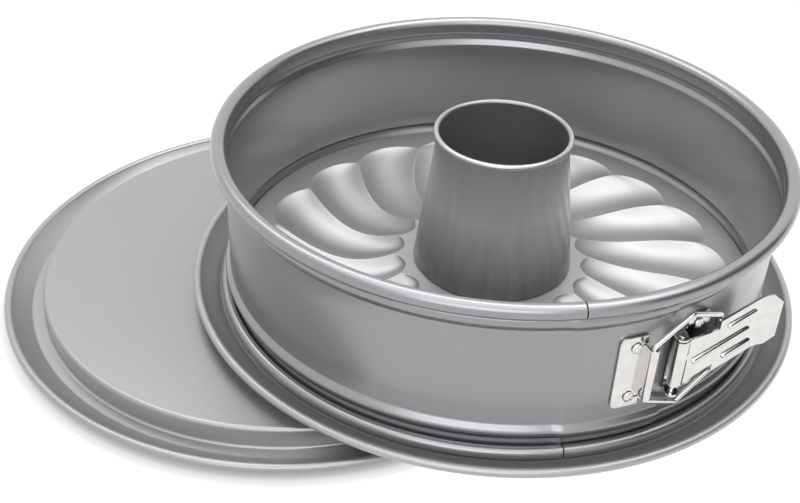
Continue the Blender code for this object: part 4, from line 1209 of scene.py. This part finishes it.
def floor():
    """Pale floor that looks white where nothing shades it; near the object its glow dims
    with ambient occlusion, a painted tight shadow.
    """
    bpy.ops.mesh.primitive_plane_add(size=FLOOR_SIZE, location=(0, 0, -FLOOR_DROP))
    made = bpy.context.object
    made.name = "floor"
    look, nodes = new_look("floor")
    nodes.tree.nodes.clear()
    out = nodes.add("ShaderNodeOutputMaterial")
    paint = nodes.add("ShaderNodeBsdfDiffuse", Color=FLOOR_PAINT)
    shade = nodes.add("ShaderNodeBsdfDiffuse", Color=FLOOR_SHADE)
    # Painted shadow: ambient occlusion dims the floor's glow near the object
    near = nodes.add("ShaderNodeAmbientOcclusion", Distance=CONTACT_SHADOW)
    painted_shadow_glow = nodes.add("ShaderNodeEmission")
    seen_floor = nodes.add("ShaderNodeAddShader")
    mix = nodes.add("ShaderNodeMixShader")
    nodes.link(near.outputs["AO"], painted_shadow_glow.inputs["Strength"])
    nodes.link(shade.outputs[0], seen_floor.inputs[0])
    nodes.link(painted_shadow_glow.outputs[0], seen_floor.inputs[1])
    nodes.link(nodes.seen_directly(), mix.inputs["Fac"])
    nodes.link(paint.outputs[0], mix.inputs[1])
    nodes.link(seen_floor.outputs[0], mix.inputs[2])
    nodes.link(mix.outputs[0], out.inputs["Surface"])
    made.data.materials.append(look)


def side_flag():
    """Dark card outside the picture, for the dark streaks in the bright metal."""
    upright = (math.pi / 2, 0, math.pi / 2)
    bpy.ops.mesh.primitive_plane_add(size=1.0, location=FLAG_PLACE, rotation=upright)
    made = bpy.context.object
    made.name = "side_flag"
    made.scale = FLAG_SIZE
    made.visible_camera = False
    made.visible_diffuse = False
    made.visible_shadow = False
    look, nodes = new_look("side_flag")
    nodes.shade(Base_Color=FLAG_PAINT, Roughness=1.0)
    made.data.materials.append(look)


def world():
    """Surroundings that look white, in reflections too, and light matt surfaces little."""
    made = bpy.data.worlds.new("studio")
    bpy.context.scene.world = made
    made.use_nodes = True
    nodes = Nodes(made.node_tree)
    back = made.node_tree.nodes["Background"]
    nodes.link((1, 1, 1, 1), back.inputs["Color"])
    level = nodes.spread(nodes.seen_directly(), WORLD_LIGHT, 1.0, (0.0, 1.0))
    nodes.link(level, back.inputs["Strength"])


def lamp(name, place, size, power, aim):
    """A lamp with a rectangular face that points at its aim and isn't seen itself."""
    data = bpy.data.lights.new(name, "AREA")
    data.shape = "RECTANGLE"
    data.size, data.size_y = size
    data.energy = power
    made = bpy.data.objects.new(name, data)
    made.location = place
    direction = Vector(aim) - Vector(place)
    made.rotation_euler = direction.to_track_quat("-Z", "Y").to_euler()
    made.visible_camera = False
    bpy.context.scene.collection.objects.link(made)


def camera():
    """Camera of the photograph, at its fitted place."""
    data = bpy.data.cameras.new("camera")
    data.lens = CAMERA_LENS
    data.sensor_width = CAMERA_SENSOR
    data.clip_start = CAMERA_NEAR
    made = bpy.data.objects.new("camera", data)
    place = Matrix.Translation(Vector((0, 0, RIM_HEIGHT)) + CAMERA_FROM_RIM)
    pitch = Matrix.Rotation(math.pi / 2 - CAMERA_PITCH, 4, "X")
    roll = Matrix.Rotation(CAMERA_ROLL, 4, "Z")
    made.matrix_world = PAN_MATRIX @ place @ pitch @ roll
    bpy.context.scene.collection.objects.link(made)
    bpy.context.scene.camera = made


# The whole scene


def studio():
    """Everything but the object."""
    camera()
    floor()
    world()
    for settings in LAMPS:
        lamp(*settings)
    side_flag()


def pan():
    """Both bases, the tube and the band."""
    flat_base_sheet(coating("flat_base_coating", FLAT_BASE_COAT, FLAT_BASE_ROUGHNESS, BASE_METAL))
    tube_base_sheet(coating("tube_base_coating", TUBE_BASE_COAT, TUBE_BASE_ROUGHNESS, BASE_METAL))
    tube_sheet(coating("tube_coating", TUBE_COAT, TUBE_ROUGHNESS, BASE_METAL, with_painted_shade=True))
    band_sheet(coating("band_coating", BAND_COAT, BAND_ROUGHNESS, BAND_METAL))


def clasp():
    """The riveted plates, the lever, the rivets, the pin and the wire."""
    plates = nickel("clasp_plates", PLATE_ROUGHNESS)
    catch_plate(plates)
    hinge_plate(plates)
    lever_pressing(nickel("clasp_lever", LEVER_ROUGHNESS))
    rivets(nickel("clasp_rivets", RIVET_ROUGHNESS))
    wire = nickel("clasp_wire", WIRE_ROUGHNESS)
    pin(wire)
    bail_wire(wire)


studio()
pan()
clasp()
bpy.context.scene.view_settings.view_transform = "Standard"


def corners(bounds):
    return [list(corner) for corner in bounds]
